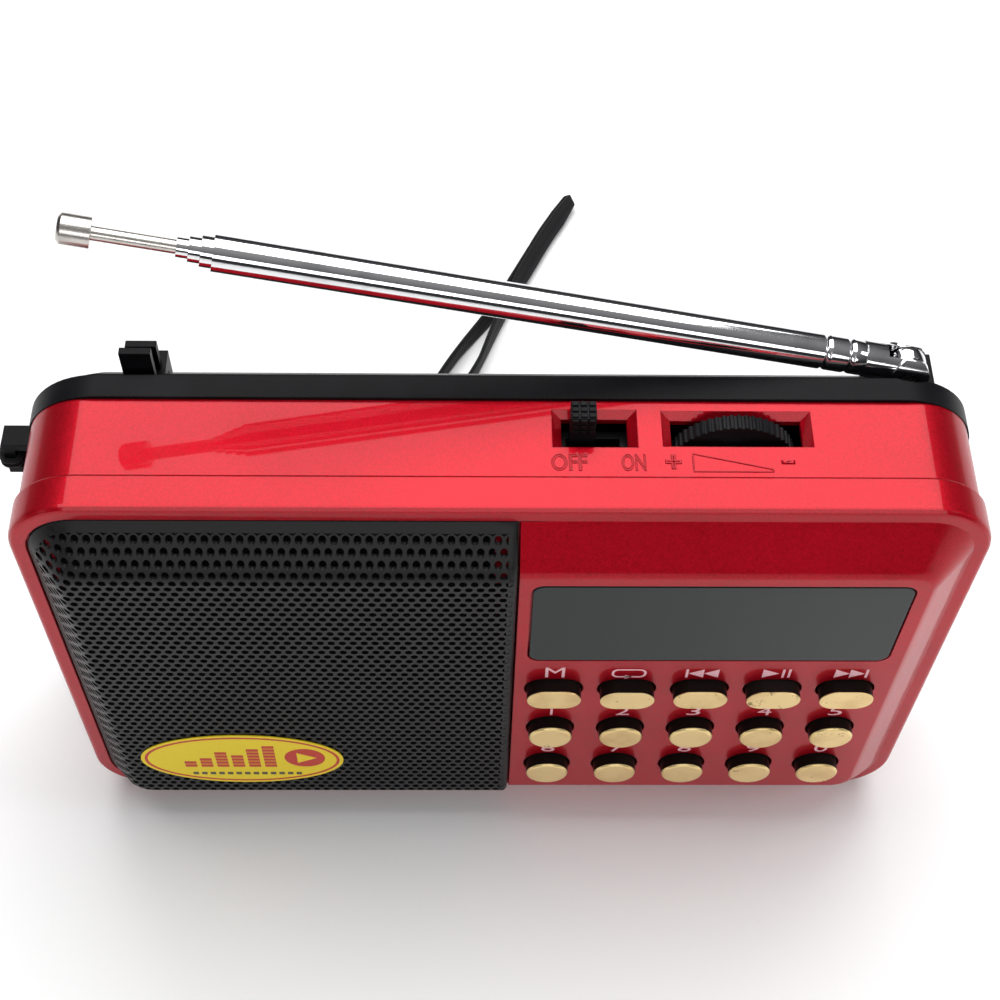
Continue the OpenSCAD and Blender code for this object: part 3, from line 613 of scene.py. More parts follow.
class Finishes:
    """Every finish of the radio, named for what it covers."""

    BODY = Lacquer("body_lacquer")
    COVER = Moulded("cover_black")
    DOOR = Moulded("door_black", rough=0.42, grain=2600)
    CONTROL = Moulded("control_black", colour=(0.008, 0.008, 0.009), rough=0.34, grain=5200, edge=0.08 * MM)
    KEY = Moulded("key_black", colour=(0.010, 0.008, 0.007), rough=0.3, grain=5200, edge=0.08 * MM)
    CONNECTOR = Moulded("connector_black", rough=0.45, grain=3600)
    GRILLE = PaintedSteel("grille_paint")
    FELT = Moulded("felt_black", colour=(0.004, 0.004, 0.004), rough=0.9, grain=1800, depth=0.15 * MM)
    CONE = Moulded("cone_paper", colour=(0.018, 0.017, 0.016), rough=0.75, grain=1400, depth=0.05 * MM)
    ANTENNA = Plated("antenna_chrome")
    CAP = Plated("cap_nickel", colour=(0.62, 0.59, 0.55), rough=0.2, streak=0.25)
    STEEL = Plated("zinc_steel", colour=(0.56, 0.56, 0.57), rough=0.24, streak=0.2)
    BRIGHT = Plated("socket_steel", colour=(0.66, 0.66, 0.67), rough=0.16, streak=0.2)
    MAGNET = Plated("magnet_plate", colour=(0.33, 0.34, 0.36), rough=0.34, streak=0.25)
    CONTACT = Plated("contact_gold", colour=(0.85, 0.62, 0.25), rough=0.18)
    GOLD = Foil("key_foil")
    GOLD_WORN = Foil("key_foil_worn", worn=0.38)
    LENS = Smoked("display_window")
    MODULE = Moulded("display_glass", colour=(0.03, 0.035, 0.03), rough=0.2, grain=2000)
    PRINT = Ink("panel_print")
    LABEL = Ink("label_yellow", colour=(0.80, 0.60, 0.004), thin=(0.74, 0.53, 0.003), rough=0.5)
    LABEL_RED = Ink("label_red", colour=(0.52, 0.03, 0.015), thin=(0.45, 0.02, 0.01), rough=0.5)
    LABEL_DARK = Ink("label_ink", colour=(0.05, 0.03, 0.012), thin=(0.09, 0.05, 0.02), rough=0.35, coat=0.15)
    TAPE = Woven("strap_tape")
    LOOP = Woven("strap_loop", pick=0.3 * MM, ends=8)
    BOARD = Laminate("board_mask")
    CELL = Ink("cell_wrap", colour=(0.02, 0.09, 0.36), thin=(0.015, 0.07, 0.3), rough=0.28, coat=0.6)


# ---------------------------------------------------------------- mesh helpers


def put(name: str, mesh: bpy.types.Mesh, finish: Optional[Finish] = None) -> bpy.types.Object:
    """Makes a shown object of a mesh.

    Args:
        name: the piece's name.
        mesh: its mesh, already in place.
        finish: its finish, if the mesh has none yet.

    Returns:
        The new object.
    """
    piece = bpy.data.objects.new(name, mesh)
    bpy.context.scene.collection.objects.link(piece)
    if finish:
        mesh.materials.clear()
        mesh.materials.append(finish.material())
    return piece


def from_lists(name: str, points: Sequence[Sequence[float]],
        faces: Sequence[Sequence[int]]) -> bpy.types.Mesh:
    """A mesh from points and faces.

    Args:
        name: the mesh's name.
        points: corners in metres.
        faces: corner numbers of each face.

    Returns:
        The mesh.
    """
    mesh = bpy.data.meshes.new(name)
    mesh.from_pydata([tuple(p) for p in points], [], [tuple(f) for f in faces])
    mesh.update()
    return mesh


def settle(piece: bpy.types.Object) -> None:
    """Turns a piece's modifiers into its plain mesh.

    Args:
        piece: the object that is evaluated.
    """
    graph = bpy.context.evaluated_depsgraph_get()
    mesh = bpy.data.meshes.new_from_object(piece.evaluated_get(graph), depsgraph=graph)
    piece.modifiers.clear()
    piece.data = mesh


def smooth(mesh: bpy.types.Mesh, angle: float = 28, outward: bool = False) -> None:
    """Smooth shading that breaks at edges sharper than an angle.

    Args:
        mesh: the mesh.
        angle: the angle in degrees.
        outward: also turns every face outward, for a closed mesh.
    """
    work = bmesh.new()
    work.from_mesh(mesh)
    if outward:
        bmesh.ops.recalc_face_normals(work, faces=work.faces)
    for face in work.faces:
        face.smooth = True
    for edge in work.edges:
        edge.smooth = edge.is_manifold and edge.calc_face_angle(math.pi) < math.radians(angle)
    work.to_mesh(mesh)
    work.free()


def adopt(node: str, finish: Finish, bevel: float = 0.0, angle: float = 28,
          name: Optional[str] = None) -> bpy.types.Object:
    """Makes a clean smooth-shaded piece of a CAD node and lets it stand for the node.

    Args:
        node: the CAD node.
        finish: the piece's finish.
        bevel: width in metres of the bevel on its sharp edges.
        angle: shading breaks at edges sharper than this, in degrees.
        name: the piece's name.

    Returns:
        The piece, riding on the node's body.
    """
    source = frame["nodes"][node]
    mesh = source.data.copy()
    work = bmesh.new()
    work.from_mesh(mesh)
    bmesh.ops.remove_doubles(work, verts=work.verts, dist=0.002 * MM)
    bmesh.ops.dissolve_limit(work, angle_limit=math.radians(0.4), verts=work.verts, edges=work.edges)
    work.to_mesh(mesh)
    work.free()
    piece = put(name or node + "_looks", mesh, finish)
    for polygon in mesh.polygons:
        polygon.material_index = 0
    if bevel > 0:
        cut = piece.modifiers.new("edges", "BEVEL")
        cut.width = bevel
        cut.segments = 2
        cut.limit_method = "ANGLE"
        cut.angle_limit = math.radians(38)
        settle(piece)
    smooth(piece.data, angle)
    weigh = piece.modifiers.new("flat_faces", "WEIGHTED_NORMAL")
    weigh.keep_sharp = True
    settle(piece)
    ride_like(piece, node)
    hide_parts(node)
    return piece


def ride_like(piece: bpy.types.Object, node: str) -> None:
    """Makes a piece ride on a CAD node's body.

    Args:
        piece: the piece.
        node: the CAD node whose body it takes.
    """
    body = body_of(frame["nodes"][node])
    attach(piece, body if isinstance(body, str) else body[0])


def recoat(node: str, finish: Finish) -> None:
    """Gives a CAD node that keeps its shape a better finish.

    Args:
        node: the CAD node.
        finish: its finish.
    """
    source = frame["nodes"][node]
    for slot in source.material_slots:
        slot.material = finish.material()


def merge(name: str, parts: Sequence[bpy.types.Object]) -> bpy.types.Object:
    """Joins pieces into one mesh with all their finishes.

    Args:
        name: the new piece's name.
        parts: pieces at the origin; they are removed.

    Returns:
        The joined piece.
    """
    materials: List[bpy.types.Material] = []
    work = bmesh.new()
    for part in parts:
        numbers = []
        for material in part.data.materials:
            if material not in materials:
                materials.append(material)
            numbers.append(materials.index(material))
        before = len(work.faces)
        work.from_mesh(part.data)
        work.faces.ensure_lookup_table()
        for face in work.faces[before:]:
            face.material_index = numbers[face.material_index] if numbers else 0
    mesh = bpy.data.meshes.new(name)
    for material in materials:
        mesh.materials.append(material)
    work.to_mesh(mesh)
    work.free()
    for part in parts:
        bpy.data.objects.remove(part)
    return put(name, mesh)


class Facing(Enum):
    """Which way a flat shape faces."""

    FRONT = "front"
    TOP = "top"


def lay(x: float, y: float, out: float, facing: Facing, level: float) -> Point:
    """Places a flat point on the front or the top.

    Args:
        x: across, in metres.
        y: up the shape, in metres.
        out: height above the surface, in metres.
        facing: the surface.
        level: Y of the front or Z of the top, in metres.

    Returns:
        The point in space.
    """
    return (x, level - out, y) if facing is Facing.FRONT else (x, y, level + out)


def decal(name: str, outlines: Sequence[Sequence[Flat]], facing: Facing, level: float,
          thick: float, finish: Finish) -> bpy.types.Object:
    """Thin closed plates with the given outlines, in metres.

    Args:
        name: the piece's name.
        outlines: convex or simple outlines, counter-clockwise.
        facing: the surface they lie on.
        level: the surface's Y or Z.
        thick: thickness.
        finish: their finish.

    Returns:
        The plates as one piece.
    """
    points: List[Point] = []
    faces: List[List[int]] = []
    for outline in outlines:
        first, count = len(points), len(outline)
        for out in (0.0, thick):
            points += [lay(x, y, out, facing, level) for x, y in outline]
        faces.append([first + count + k for k in range(count)])
        faces.append([first + k for k in reversed(range(count))])
        for k in range(count):
            n = (k + 1) % count
            faces.append([first + k, first + n, first + count + n, first + count + k])
    mesh = from_lists(name, points, faces)
    smooth(mesh, 20, outward=True)
    return put(name, mesh, finish)


def stroke(path: Sequence[Flat], width: float, closed: bool = False) -> List[List[Flat]]:
    """Quads that follow a flat path.

    Args:
        path: the path's points.
        width: the stroke's width.
        closed: joins the last point to the first.

    Returns:
        One outline for each stretch.
    """
    count = len(path)
    sides: List[Tuple[Flat, Flat]] = []
    for k, (x, y) in enumerate(path):
        before = path[(k - 1) % count] if closed or k > 0 else path[k]
        after = path[(k + 1) % count] if closed or k < count - 1 else path[k]
        dx, dy = after[0] - before[0], after[1] - before[1]
        long = math.hypot(dx, dy) or 1.0
        nx, ny = -dy / long * width / 2, dx / long * width / 2
        sides.append(((x + nx, y + ny), (x - nx, y - ny)))
    stretches = count if closed else count - 1
    return [[sides[k][1], sides[(k + 1) % count][1], sides[(k + 1) % count][0], sides[k][0]]
            for k in range(stretches)]


def rounded_path(x: float, y: float, wide: float, high: float, radius: float, steps: int = 5) -> List[Flat]:
    """A rounded rectangle round a point, counter-clockwise.

    Args:
        x: its middle across.
        y: its middle up.
        wide: its width.
        high: its height.
        radius: its corner radius.
        steps: stretches in each corner.

    Returns:
        The outline's points.
    """
    path: List[Flat] = []
    for turn, (sx, sy) in enumerate(((1, -1), (1, 1), (-1, 1), (-1, -1))):
        cx, cy = x + sx * (wide / 2 - radius), y + sy * (high / 2 - radius)
        for k in range(steps + 1):
            a = math.radians(-90 + 90 * turn + 90 * k / steps)
            path.append((cx + radius * math.cos(a), cy + radius * math.sin(a)))
    return path


def lettering(name: str, text: str, x: float, low: float, high: float, facing: Facing, level: float,
              finish: Finish, outline: float = 0.0, wide: float = 0.0) -> bpy.types.Object:
    """A generic number or word as a mesh, fitted between two heights.

    Args:
        name: the piece's name.
        text: what it says.
        x: its middle across.
        low: its lower edge.
        high: its upper edge.
        facing: the surface it lies on.
        level: the surface's Y or Z.
        finish: its finish.
        outline: radius of a raised outline, or 0 for solid print.
        wide: its full width, or 0 to keep the letters' own.

    Returns:
        The lettering as one piece.
    """
    curve = bpy.data.curves.new(name, "FONT")
    curve.body = text
    curve.resolution_u = 4
    if outline > 0:
        curve.fill_mode = "NONE"
        curve.bevel_depth = outline / (high - low) * 0.7
        curve.bevel_resolution = 1
    else:
        curve.extrude = 0.004
    holder = bpy.data.objects.new(name, curve)
    bpy.context.scene.collection.objects.link(holder)
    bpy.context.view_layer.update()
    graph = bpy.context.evaluated_depsgraph_get()
    mesh = bpy.data.meshes.new_from_object(holder.evaluated_get(graph), depsgraph=graph)
    bpy.data.objects.remove(holder)
    xs = [v.co.x for v in mesh.vertices]
    ys = [v.co.y for v in mesh.vertices]
    scale_y = (high - low) / (max(ys) - min(ys))
    scale_x = wide / (max(xs) - min(xs)) if wide else scale_y
    middle = (max(xs) + min(xs)) / 2
    for vertex in mesh.vertices:
        flat_x = x + (vertex.co.x - middle) * scale_x
        flat_y = low + (vertex.co.y - min(ys)) * scale_y
        vertex.co = lay(flat_x, flat_y, vertex.co.z * scale_y, facing, level)
    if outline <= 0:
        work = bmesh.new()
        work.from_mesh(mesh)
        bmesh.ops.remove_doubles(work, verts=work.verts, dist=0.0005 * MM)
        work.to_mesh(mesh)
        work.free()
    smooth(mesh, 30, outward=True)
    return put(name, mesh, finish)


def corner(node: str) -> Tuple[Vector, Vector]:
    """Lowest and highest corner of a CAD node.

    Args:
        node: the node.

    Returns:
        Both corners in metres.
    """
    low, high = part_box(node)
    return Vector(low), Vector(high)


def sweep(name: str, path: Sequence[Vector], section: Callable[[int], Sequence[Flat]],
          up: Vector, closed: bool = False, capped: bool = True) -> bpy.types.Mesh:
    """Sweeps a section along a path, with a UV map for tape.

    Args:
        name: the mesh's name.
        path: the path's points.
        section: the section's outline (across, up) at each point.
        up: the direction that the section's second axis keeps to.
        closed: joins the last ring to the first.
        capped: closes both ends.

    Returns:
        The mesh.
    """
    points: List[Vector] = []
    run = [0.0]
    count = len(path)
    for k in range(count):
        before = path[(k - 1) % count] if closed or k > 0 else path[k]
        after = path[(k + 1) % count] if closed or k < count - 1 else path[k]
        ahead = (after - before).normalized()
        across = ahead.cross(up).normalized()
        rise = across.cross(ahead).normalized()
        points += [path[k] + across * a + rise * b for a, b in section(k)]
        if k:
            run.append(run[-1] + (path[k] - path[k - 1]).length)
    sides = len(section(0))
    faces: List[List[int]] = []
    seats: List[List[Flat]] = []
    for k in range(count if closed else count - 1):
        n = (k + 1) % count
        far = run[n] if n else run[-1] + (path[0] - path[-1]).length
        for s in range(sides):
            t = (s + 1) % sides
            faces.append([k * sides + s, k * sides + t, n * sides + t, n * sides + s])
            seats.append([(s / sides, run[k]), ((s + 1) / sides, run[k]), ((s + 1) / sides, far),
                    (s / sides, far)])
    if capped and not closed:
        faces.append([s for s in reversed(range(sides))])
        seats.append([(0.0, 0.0)] * sides)
        faces.append([(count - 1) * sides + s for s in range(sides)])
        seats.append([(0.0, run[-1])] * sides)
    mesh = from_lists(name, points, faces)
    layer = mesh.uv_layers.new(name="tape")
    corner_number = 0
    for seat in seats:
        for uv in seat:
            layer.data[corner_number].uv = uv
            corner_number += 1
    smooth(mesh, 50, outward=True)
    return mesh


def follow(route: Sequence[Sequence[float]], steps: int) -> List[Vector]:
    """A smooth curve through a route's points.

    Args:
        route: points in millimetres.
        steps: stretches between two points.

    Returns:
        The curve's points in metres.
    """
    marks = [Vector(p) * MM for p in route]
    marks = [marks[0] * 2 - marks[1]] + marks + [marks[-1] * 2 - marks[-2]]
    curve: List[Vector] = []
    for k in range(1, len(marks) - 2):
        p0, p1, p2, p3 = marks[k - 1:k + 3]
        for s in range(steps):
            t = s / steps
            curve.append(0.5 * (2 * p1 + (p2 - p0) * t + (2 * p0 - 5 * p1 + 4 * p2 - p3) * t * t
                                + (3 * p1 - p0 - 3 * p2 + p3) * t ** 3))
    curve.append(marks[-2])
    return curve


# ---------------------------------------------------------------- sub-assemblies


@dataclass
class Housing:
    """Red front shell, black back cover and battery door, with the marks moulded in the top.

    Attributes:
        mark_low: Y of the moulded marks' lower edge.
        mark_high: Y of their upper edge.
        line: radius of their raised lines.
    """

    mark_low: float = -5.9 * MM
    mark_high: float = -3.3 * MM
    line: float = 0.13 * MM

    def build(self) -> None:
        """Builds and dresses the shells, the door, the screws and the marks."""
        adopt("front_shell", Finishes.BODY, angle=24)
        adopt("back_cover", Finishes.COVER, angle=24)
        adopt("battery_door", Finishes.DOOR, bevel=0.12 * MM)
        adopt("case_screws", Finishes.STEEL, bevel=0.06 * MM)
        ride_like(self.marks(), "front_shell")

    def marks(self) -> bpy.types.Object:
        """The switch and volume marks, raised outlines in the body's lacquer.

        Returns:
            The marks as one piece.
        """
        top = corner("front_shell")[1].z - 0.5 * MM
        low, high = self.mark_low, self.mark_high
        parts = [
            lettering("mark_off", "OFF", 8.0 * MM, low, high, Facing.TOP, top, Finishes.BODY, self.line,
                    4.4 * MM),
            lettering("mark_on", "ON", 15.8 * MM, low, high, Facing.TOP, top, Finishes.BODY, self.line,
                    3.0 * MM),
            lettering("mark_more", "+", 20.6 * MM, low + 0.3 * MM, high - 0.1 * MM, Facing.TOP, top,
                    Finishes.BODY,
                      self.line, 2.0 * MM),
            lettering("mark_less", "-", 34.5 * MM, low + 1.1 * MM, low + 1.7 * MM, Facing.TOP, top,
                    Finishes.BODY,
                      self.line, 1.7 * MM)]
        wedge = [(23.0 * MM, low), (32.6 * MM, low), (32.6 * MM, low + 0.35 * MM), (23.0 * MM, high)]
        parts.append(self.rail(wedge, top))
        return merge("moulded_marks", parts)

    def rail(self, outline: Sequence[Flat], top: float) -> bpy.types.Object:
        """A raised line round an outline.

        Args:
            outline: the outline's corners on the top.
            top: Z of the top.

        Returns:
            The line as a piece.
        """
        path = [Vector((x, y, top)) for x, y in outline]
        dense = [path[k].lerp(path[(k + 1) % len(path)], t / 6) for k in range(len(path)) for t in range(6)]
        ring = [(self.line * math.cos(a),
                self.line * math.sin(a)) for a in (k * math.pi / 3 for k in range(6))]
        return put("mark_wedge", sweep("mark_wedge", dense, lambda k: ring, Vector((0, 0, 1)), closed=True),
                   Finishes.BODY)


@dataclass
class Grille:
    """Perforated steel sheet over the speaker, formed to the same bevel as the key panel.

    Attributes:
        pitch: distance between holes.
        hole: diameter of a hole.
        thick: thickness of the sheet.
        slope_x: width of the side slope.
        slope_z: width of the slopes at the top and bottom.
        rise: how far the sheet stands in front of the rim.
        corner: corner radius at the rim.
        top_corner: corner radius of the raised part.
        lip: radius of the rolled edge along the seam.
    """

    pitch: float = 1.40 * MM
    hole: float = 0.98 * MM
    thick: float = 0.5 * MM
    slope_x: float = 4.4 * MM
    slope_z: float = 6.3 * MM
    rise: float = 4.75 * MM
    corner: float = 6.55 * MM
    top_corner: float = 2.6 * MM
    lip: float = 0.8 * MM

    def build(self) -> None:
        """Builds and dresses the sheet, the felt and the speaker behind it."""
        self.low, self.high = corner("speaker_grille")
        sheet = merge("perforated_grille", [self.sheet(), self.border()])
        ride_like(sheet, "speaker_grille")
        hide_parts("speaker_grille")
        adopt("grille_felt", Finishes.FELT)
        adopt("speaker_cone", Finishes.CONE)
        adopt("speaker_basket", Finishes.STEEL, bevel=0.1 * MM)
        adopt("speaker_magnet", Finishes.MAGNET, bevel=0.3 * MM)

    def cell(self) -> bpy.types.Object:
        """One hexagonal cell of sheet with its hole, facing +Z.

        Returns:
            The cell.
        """
        outer: List[Point] = []
        inner: List[Point] = []
        corner_reach = self.pitch / math.sqrt(3)
        for k in range(12):
            a = math.radians(30 * k)
            reach = self.pitch / 2 if k % 2 == 0 else corner_reach
            outer.append((reach * math.cos(a), reach * math.sin(a), 0.0))
            inner.append((self.hole / 2 * math.cos(a), self.hole / 2 * math.sin(a), 0.0))
        down = (0.0, 0.0, -self.thick)
        back_inner = [(x, y, down[2]) for x, y, _ in inner]
        back_outer = [(x, y, down[2]) for x, y, _ in outer]
        faces = []
        for k in range(12):
            n = (k + 1) % 12
            faces.append([k, n, 12 + n, 12 + k])
            faces.append([12 + k, 12 + n, 24 + n, 24 + k])
            faces.append([24 + k, 24 + n, 36 + n, 36 + k])
        mesh = from_lists("grille_cell", outer + inner + back_inner + back_outer, faces)
        return put("grille_cell", mesh)

    def height(self, x: float, z: float) -> float:
        """How far the sheet stands in front of the rim at a point.

        Args:
            x: X of the point.
            z: Z of the point.

        Returns:
            The height in metres.
        """
        u = x - self.low.x
        v = min(z - self.low.z, self.high.z - z)
        share = min(u / self.slope_x, v / self.slope_z)
        c0 = (self.corner, self.corner)
        c1 = (self.slope_x + self.top_corner, self.slope_z + self.top_corner)
        if u < c1[0] and v < c1[1]:
            m = (c1[0] - c0[0], c1[1] - c0[1])
            k = self.corner - self.top_corner
            d = (u - c0[0], v - c0[1])
            a = m[0] ** 2 + m[1] ** 2 - k * k
            b = 2 * (self.corner * k - d[0] * m[0] - d[1] * m[1])
            c = d[0] ** 2 + d[1] ** 2 - self.corner ** 2
            root = max(b * b - 4 * a * c, 0.0)
            t = (-b + math.sqrt(root)) / (2 * a)
            cx, cz = c0[0] + m[0] * t, c0[1] + m[1] * t
            if u < cx + 0.2 * MM and v < cz + 0.2 * MM:
                share = t
        ramp, blend = 1.0976 * share, 0.2
        over = max(blend - abs(ramp - 1.0), 0.0)
        level = min(ramp, 1.0) - over * over / (4 * blend)
        rolled = max(x - (self.high.x - self.lip), 0.0)
        roll = self.lip - math.sqrt(max(self.lip ** 2 - min(rolled, self.lip) ** 2, 0.0))
        return max(self.rise * level - roll, 0.0)

    def lattice(self, cell: bpy.types.Object) -> bpy.types.NodeTree:
        """A node tree that fills a rounded rectangle with cells.

        Args:
            cell: the cell that is repeated.

        Returns:
            The tree, with its sizes as named inputs.
        """
        group = bpy.data.node_groups.new("perforated_sheet", "GeometryNodeTree")
        face = group.interface
        self.inputs = {}
        for label, kind, value in (("Cell", "NodeSocketObject", cell),
                ("Pitch", "NodeSocketFloat", self.pitch),
                                   ("Width", "NodeSocketFloat", self.high.x - self.low.x),
                                   ("Height", "NodeSocketFloat", self.high.z - self.low.z),
                                   ("Finish", "NodeSocketMaterial", Finishes.GRILLE.material())):
            socket = face.new_socket(name=label, in_out="INPUT", socket_type=kind)
            self.inputs[socket.identifier] = value
        face.new_socket(name="Sheet", in_out="OUTPUT", socket_type="NodeSocketGeometry")
        tree = Tree(group)
        given = tree.node("NodeGroupInput")
        sock = {name: Sock(tree, given.outputs[name]) for name in ("Cell", "Pitch", "Width", "Height",
                "Finish")}
        row = sock["Pitch"] * (math.sqrt(3) / 2)
        across = tree.maths("FLOOR", sock["Width"] / sock["Pitch"]) + 3
        rows = tree.maths("FLOOR", sock["Height"] / row) + 3
        grid = tree.out("GeometryNodeMeshGrid", 0, {}, {
            "Size X": (across - 1) * sock["Pitch"], "Size Y": (rows - 1) * row, "Vertices X": across, "Vertices Y": rows})
        split = tree.node("ShaderNodeSeparateXYZ", {}, {0: tree.out("GeometryNodeInputPosition")})
        x, z = Sock(tree, split.outputs[0]), Sock(tree, split.outputs[1])
        number = tree.maths("ROUND", (z + (rows - 1) * row * 0.5) / row)
        odd = tree.maths("MODULO", number, 2.0)
        shift = tree.out("ShaderNodeCombineXYZ", 0, {}, {0: odd * sock["Pitch"] * 0.5})
        moved = tree.out("GeometryNodeSetPosition", 0, {}, {"Geometry": grid, "Offset": shift})
        half = (0.5 * sock["Width"], 0.5 * sock["Height"])
        qx = abs(x + 0.0) - (half[0] - self.corner)
        qz = abs(z + 0.0) - (half[1] - self.corner)
        ax, az = qx.most(0.0), qz.most(0.0)
        square = abs(x) - half[0]
        outside = (ax * ax + az * az).root() + qx.most(qz).least(0.0) - self.corner
        straight = square.most(abs(z) - half[1])
        right = x > 0.0
        edge = outside * (1 - right) + straight * right
        gone = edge > sock["Pitch"] * -0.57
        kept = tree.out("GeometryNodeDeleteGeometry", 0, {"domain": "POINT"},
                {"Geometry": moved, "Selection": gone})
        shape = tree.out("GeometryNodeObjectInfo", "Geometry", {"transform_space": "ORIGINAL"},
                {"Object": sock["Cell"]})
        placed = tree.out("GeometryNodeInstanceOnPoints", 0, {}, {"Points": kept, "Instance": shape})
        solid = tree.out("GeometryNodeRealizeInstances", 0, {}, {0: placed})
        welded = tree.out("GeometryNodeMergeByDistance", 0, {}, {"Geometry": solid, "Distance": 0.003 * MM})
        whole = tree.out("GeometryNodeRealizeInstances", 0, {}, {0: welded})
        done = tree.out("GeometryNodeSetMaterial", 0, {}, {"Geometry": whole, "Material": sock["Finish"]})
        tree.node("NodeGroupOutput", {}, {0: done})
        return group

    def sheet(self) -> bpy.types.Object:
        """The perforated sheet, bent to the grille's form.

        Returns:
            The sheet.
        """
        cell = self.cell()
        piece = put("grille_sheet", bpy.data.meshes.new("grille_sheet"))
        nodes = piece.modifiers.new("perforations", "NODES")
        nodes.node_group = self.lattice(cell)
        for identifier, value in self.inputs.items():
            nodes[identifier] = value
        settle(piece)
        bpy.data.objects.remove(cell)
        middle = (self.low + self.high) / 2
        rim = self.low.y + 4.8 * MM
        for vertex in piece.data.vertices:
            x, z, depth = vertex.co.x + middle.x, vertex.co.y + middle.z, -vertex.co.z
            x = min(max(x, self.low.x + 0.06 * MM), self.high.x - 0.02 * MM)
            vertex.co = (x, rim - self.height(x, z) + depth, z)
        smooth(piece.data, 35)
        return piece

    def border(self) -> bpy.types.Object:
        """The plain border of the sheet, just under the cells, and the edge turned back to the baffle.

        Returns:
            The border.
        """
        rim = self.low.y + 4.8 * MM
        back = corner("speaker_grille")[1].y
        low, high, r = self.low, self.high, self.corner

        def outline(inset: float) -> List[Flat]:
            """The sheet's outline pulled in by an inset."""
            path: List[Flat] = []
            rad = r - inset
            for turn, (cx, cz) in ((2, (low.x + r, high.z - r)), (3, (low.x + r, low.z + r))):
                start = 90 if turn == 2 else 180
                for k in range(13):
                    a = math.radians(start + 90 * k / 12)
                    path.append((cx + rad * math.cos(a), cz + rad * math.sin(a)))
            steps = 40
            right = high.x - inset
            left_top, left_low = path[0], path[-1]
            side = [(path[12][0], path[12][1] + (path[13][1] - path[12][1]) * k / steps) for k in range(1,
                    steps)]
            bottom = [(left_low[0] + (right - left_low[0]) * k / steps, low.z + inset) for k in range(1,
                    steps)]
            seam = [(right, low.z + inset + (high.z - low.z - 2 * inset) * k / steps) for k in range(steps + 1)]
            top = [(right + (left_top[0] - right) * k / steps, high.z - inset) for k in range(1, steps)]
            return path[:13] + side + path[13:] + bottom + seam + top

        rings = [(0.0, None), (0.0, 0.0), (0.1, 0.0), (0.35, 0.0), (0.7, 0.0), (1.15, 0.0), (1.15, 0.4)]
        points: List[Point] = []
        for inset, sink in rings:
            for x, z in outline(inset * MM):
                level = rim - self.height(x, z) + 0.05 * MM
                points.append((x, back if sink is None else level + sink * MM, z))
        count = len(outline(0.0))
        faces = [[k * count + s, k * count + (s + 1) % count, (k + 1) * count + (s + 1) % count,
                (k + 1) * count + s]
                 for k in range(len(rings) - 1) for s in range(count)]
        mesh = from_lists("grille_border", points, faces)
        smooth(mesh, 50)
        test = mesh.polygons[3 * count + 20].normal
        if test.y > 0:
            mesh.flip_normals()
        return put("grille_border", mesh, Finishes.GRILLE)


@dataclass
class Sticker:
    """Oval promotional label with a generic rising-bars picture.

    Attributes:
        rim: width of its red border line.
        film: thickness of each printed layer.
    """

    rim: float = 0.42 * MM
    film: float = 0.02 * MM

    def build(self) -> None:
        """Builds and dresses the label."""
        low, high = corner("front_sticker")
        middle, half = (low + high) / 2, (high - low) / 2

        def oval(share_x: float, share_z: float, inset: float = 0.0) -> List[Flat]:
            """An oval about the label's middle."""
            return [(middle.x + (half.x * share_x - inset) * math.cos(a),
                    middle.z + (half.z * share_z - inset) * math.sin(a))
                    for a in (2 * math.pi * k / 96 for k in range(96))]

        base = decal("label_base", [oval(1, 1)], Facing.FRONT, high.y, high.y - low.y, Finishes.LABEL)
        ring = decal("label_ring", stroke(oval(1, 1, 0.75 * MM), self.rim, closed=True), Facing.FRONT,
                low.y, self.film,
                     Finishes.LABEL_RED)
        bars: List[List[Flat]] = []
        heights = (2.2, 3.6, 5.2, 4.0, 6.4, 7.4)
        for k, high_mm in enumerate(heights):
            x0 = middle.x + (-8.4 + 2.3 * k) * MM
            z0 = middle.z - 2.4 * MM
            blocks = int(high_mm / 1.0)
            for b in range(blocks):
                z = z0 + b * 1.0 * MM
                bars.append([(x0, z), (x0 + 1.7 * MM, z), (x0 + 1.7 * MM, z + 0.8 * MM), (x0, z + 0.8 * MM)])
        picture = decal("label_bars", bars, Facing.FRONT, low.y, self.film, Finishes.LABEL_RED)
        sun_x, sun_z = middle.x + 9.0 * MM, middle.z + 0.6 * MM
        disc = [(sun_x + 2.9 * MM * math.cos(a), sun_z + 2.9 * MM * math.sin(a))
                for a in (2 * math.pi * k / 40 for k in range(40))]
        arrow = [(sun_x - 1.1 * MM, sun_z - 1.6 * MM), (sun_x + 1.7 * MM, sun_z),
                (sun_x - 1.1 * MM, sun_z + 1.6 * MM)]
        sun = decal("label_disc", [disc], Facing.FRONT, low.y, self.film, Finishes.LABEL_RED)
        play = decal("label_arrow", [arrow], Facing.FRONT, low.y - self.film, self.film, Finishes.LABEL)
        dots = [[(middle.x + (-7.6 + 1.25 * k) * MM, middle.z - 5.0 * MM),
                (middle.x + (-6.8 + 1.25 * k) * MM, middle.z - 5.0 * MM),
                 (middle.x + (-6.8 + 1.25 * k) * MM,
                         middle.z - 4.2 * MM), (middle.x + (-7.6 + 1.25 * k) * MM, middle.z - 4.2 * MM)]
                for k in range(13)]
        line = decal("label_dots", dots, Facing.FRONT, low.y, self.film, Finishes.LABEL_DARK)
        label = merge("oval_label", [base, ring, picture, sun, play, line])
        ride_like(label, "front_sticker")
        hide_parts("front_sticker")


class Mark(Enum):
    """What is printed above a function key."""

    MODE = "key_mode"
    REPEAT = "key_repeat"
    PREVIOUS = "key_previous"
    PLAY = "key_play"
    NEXT = "key_next"


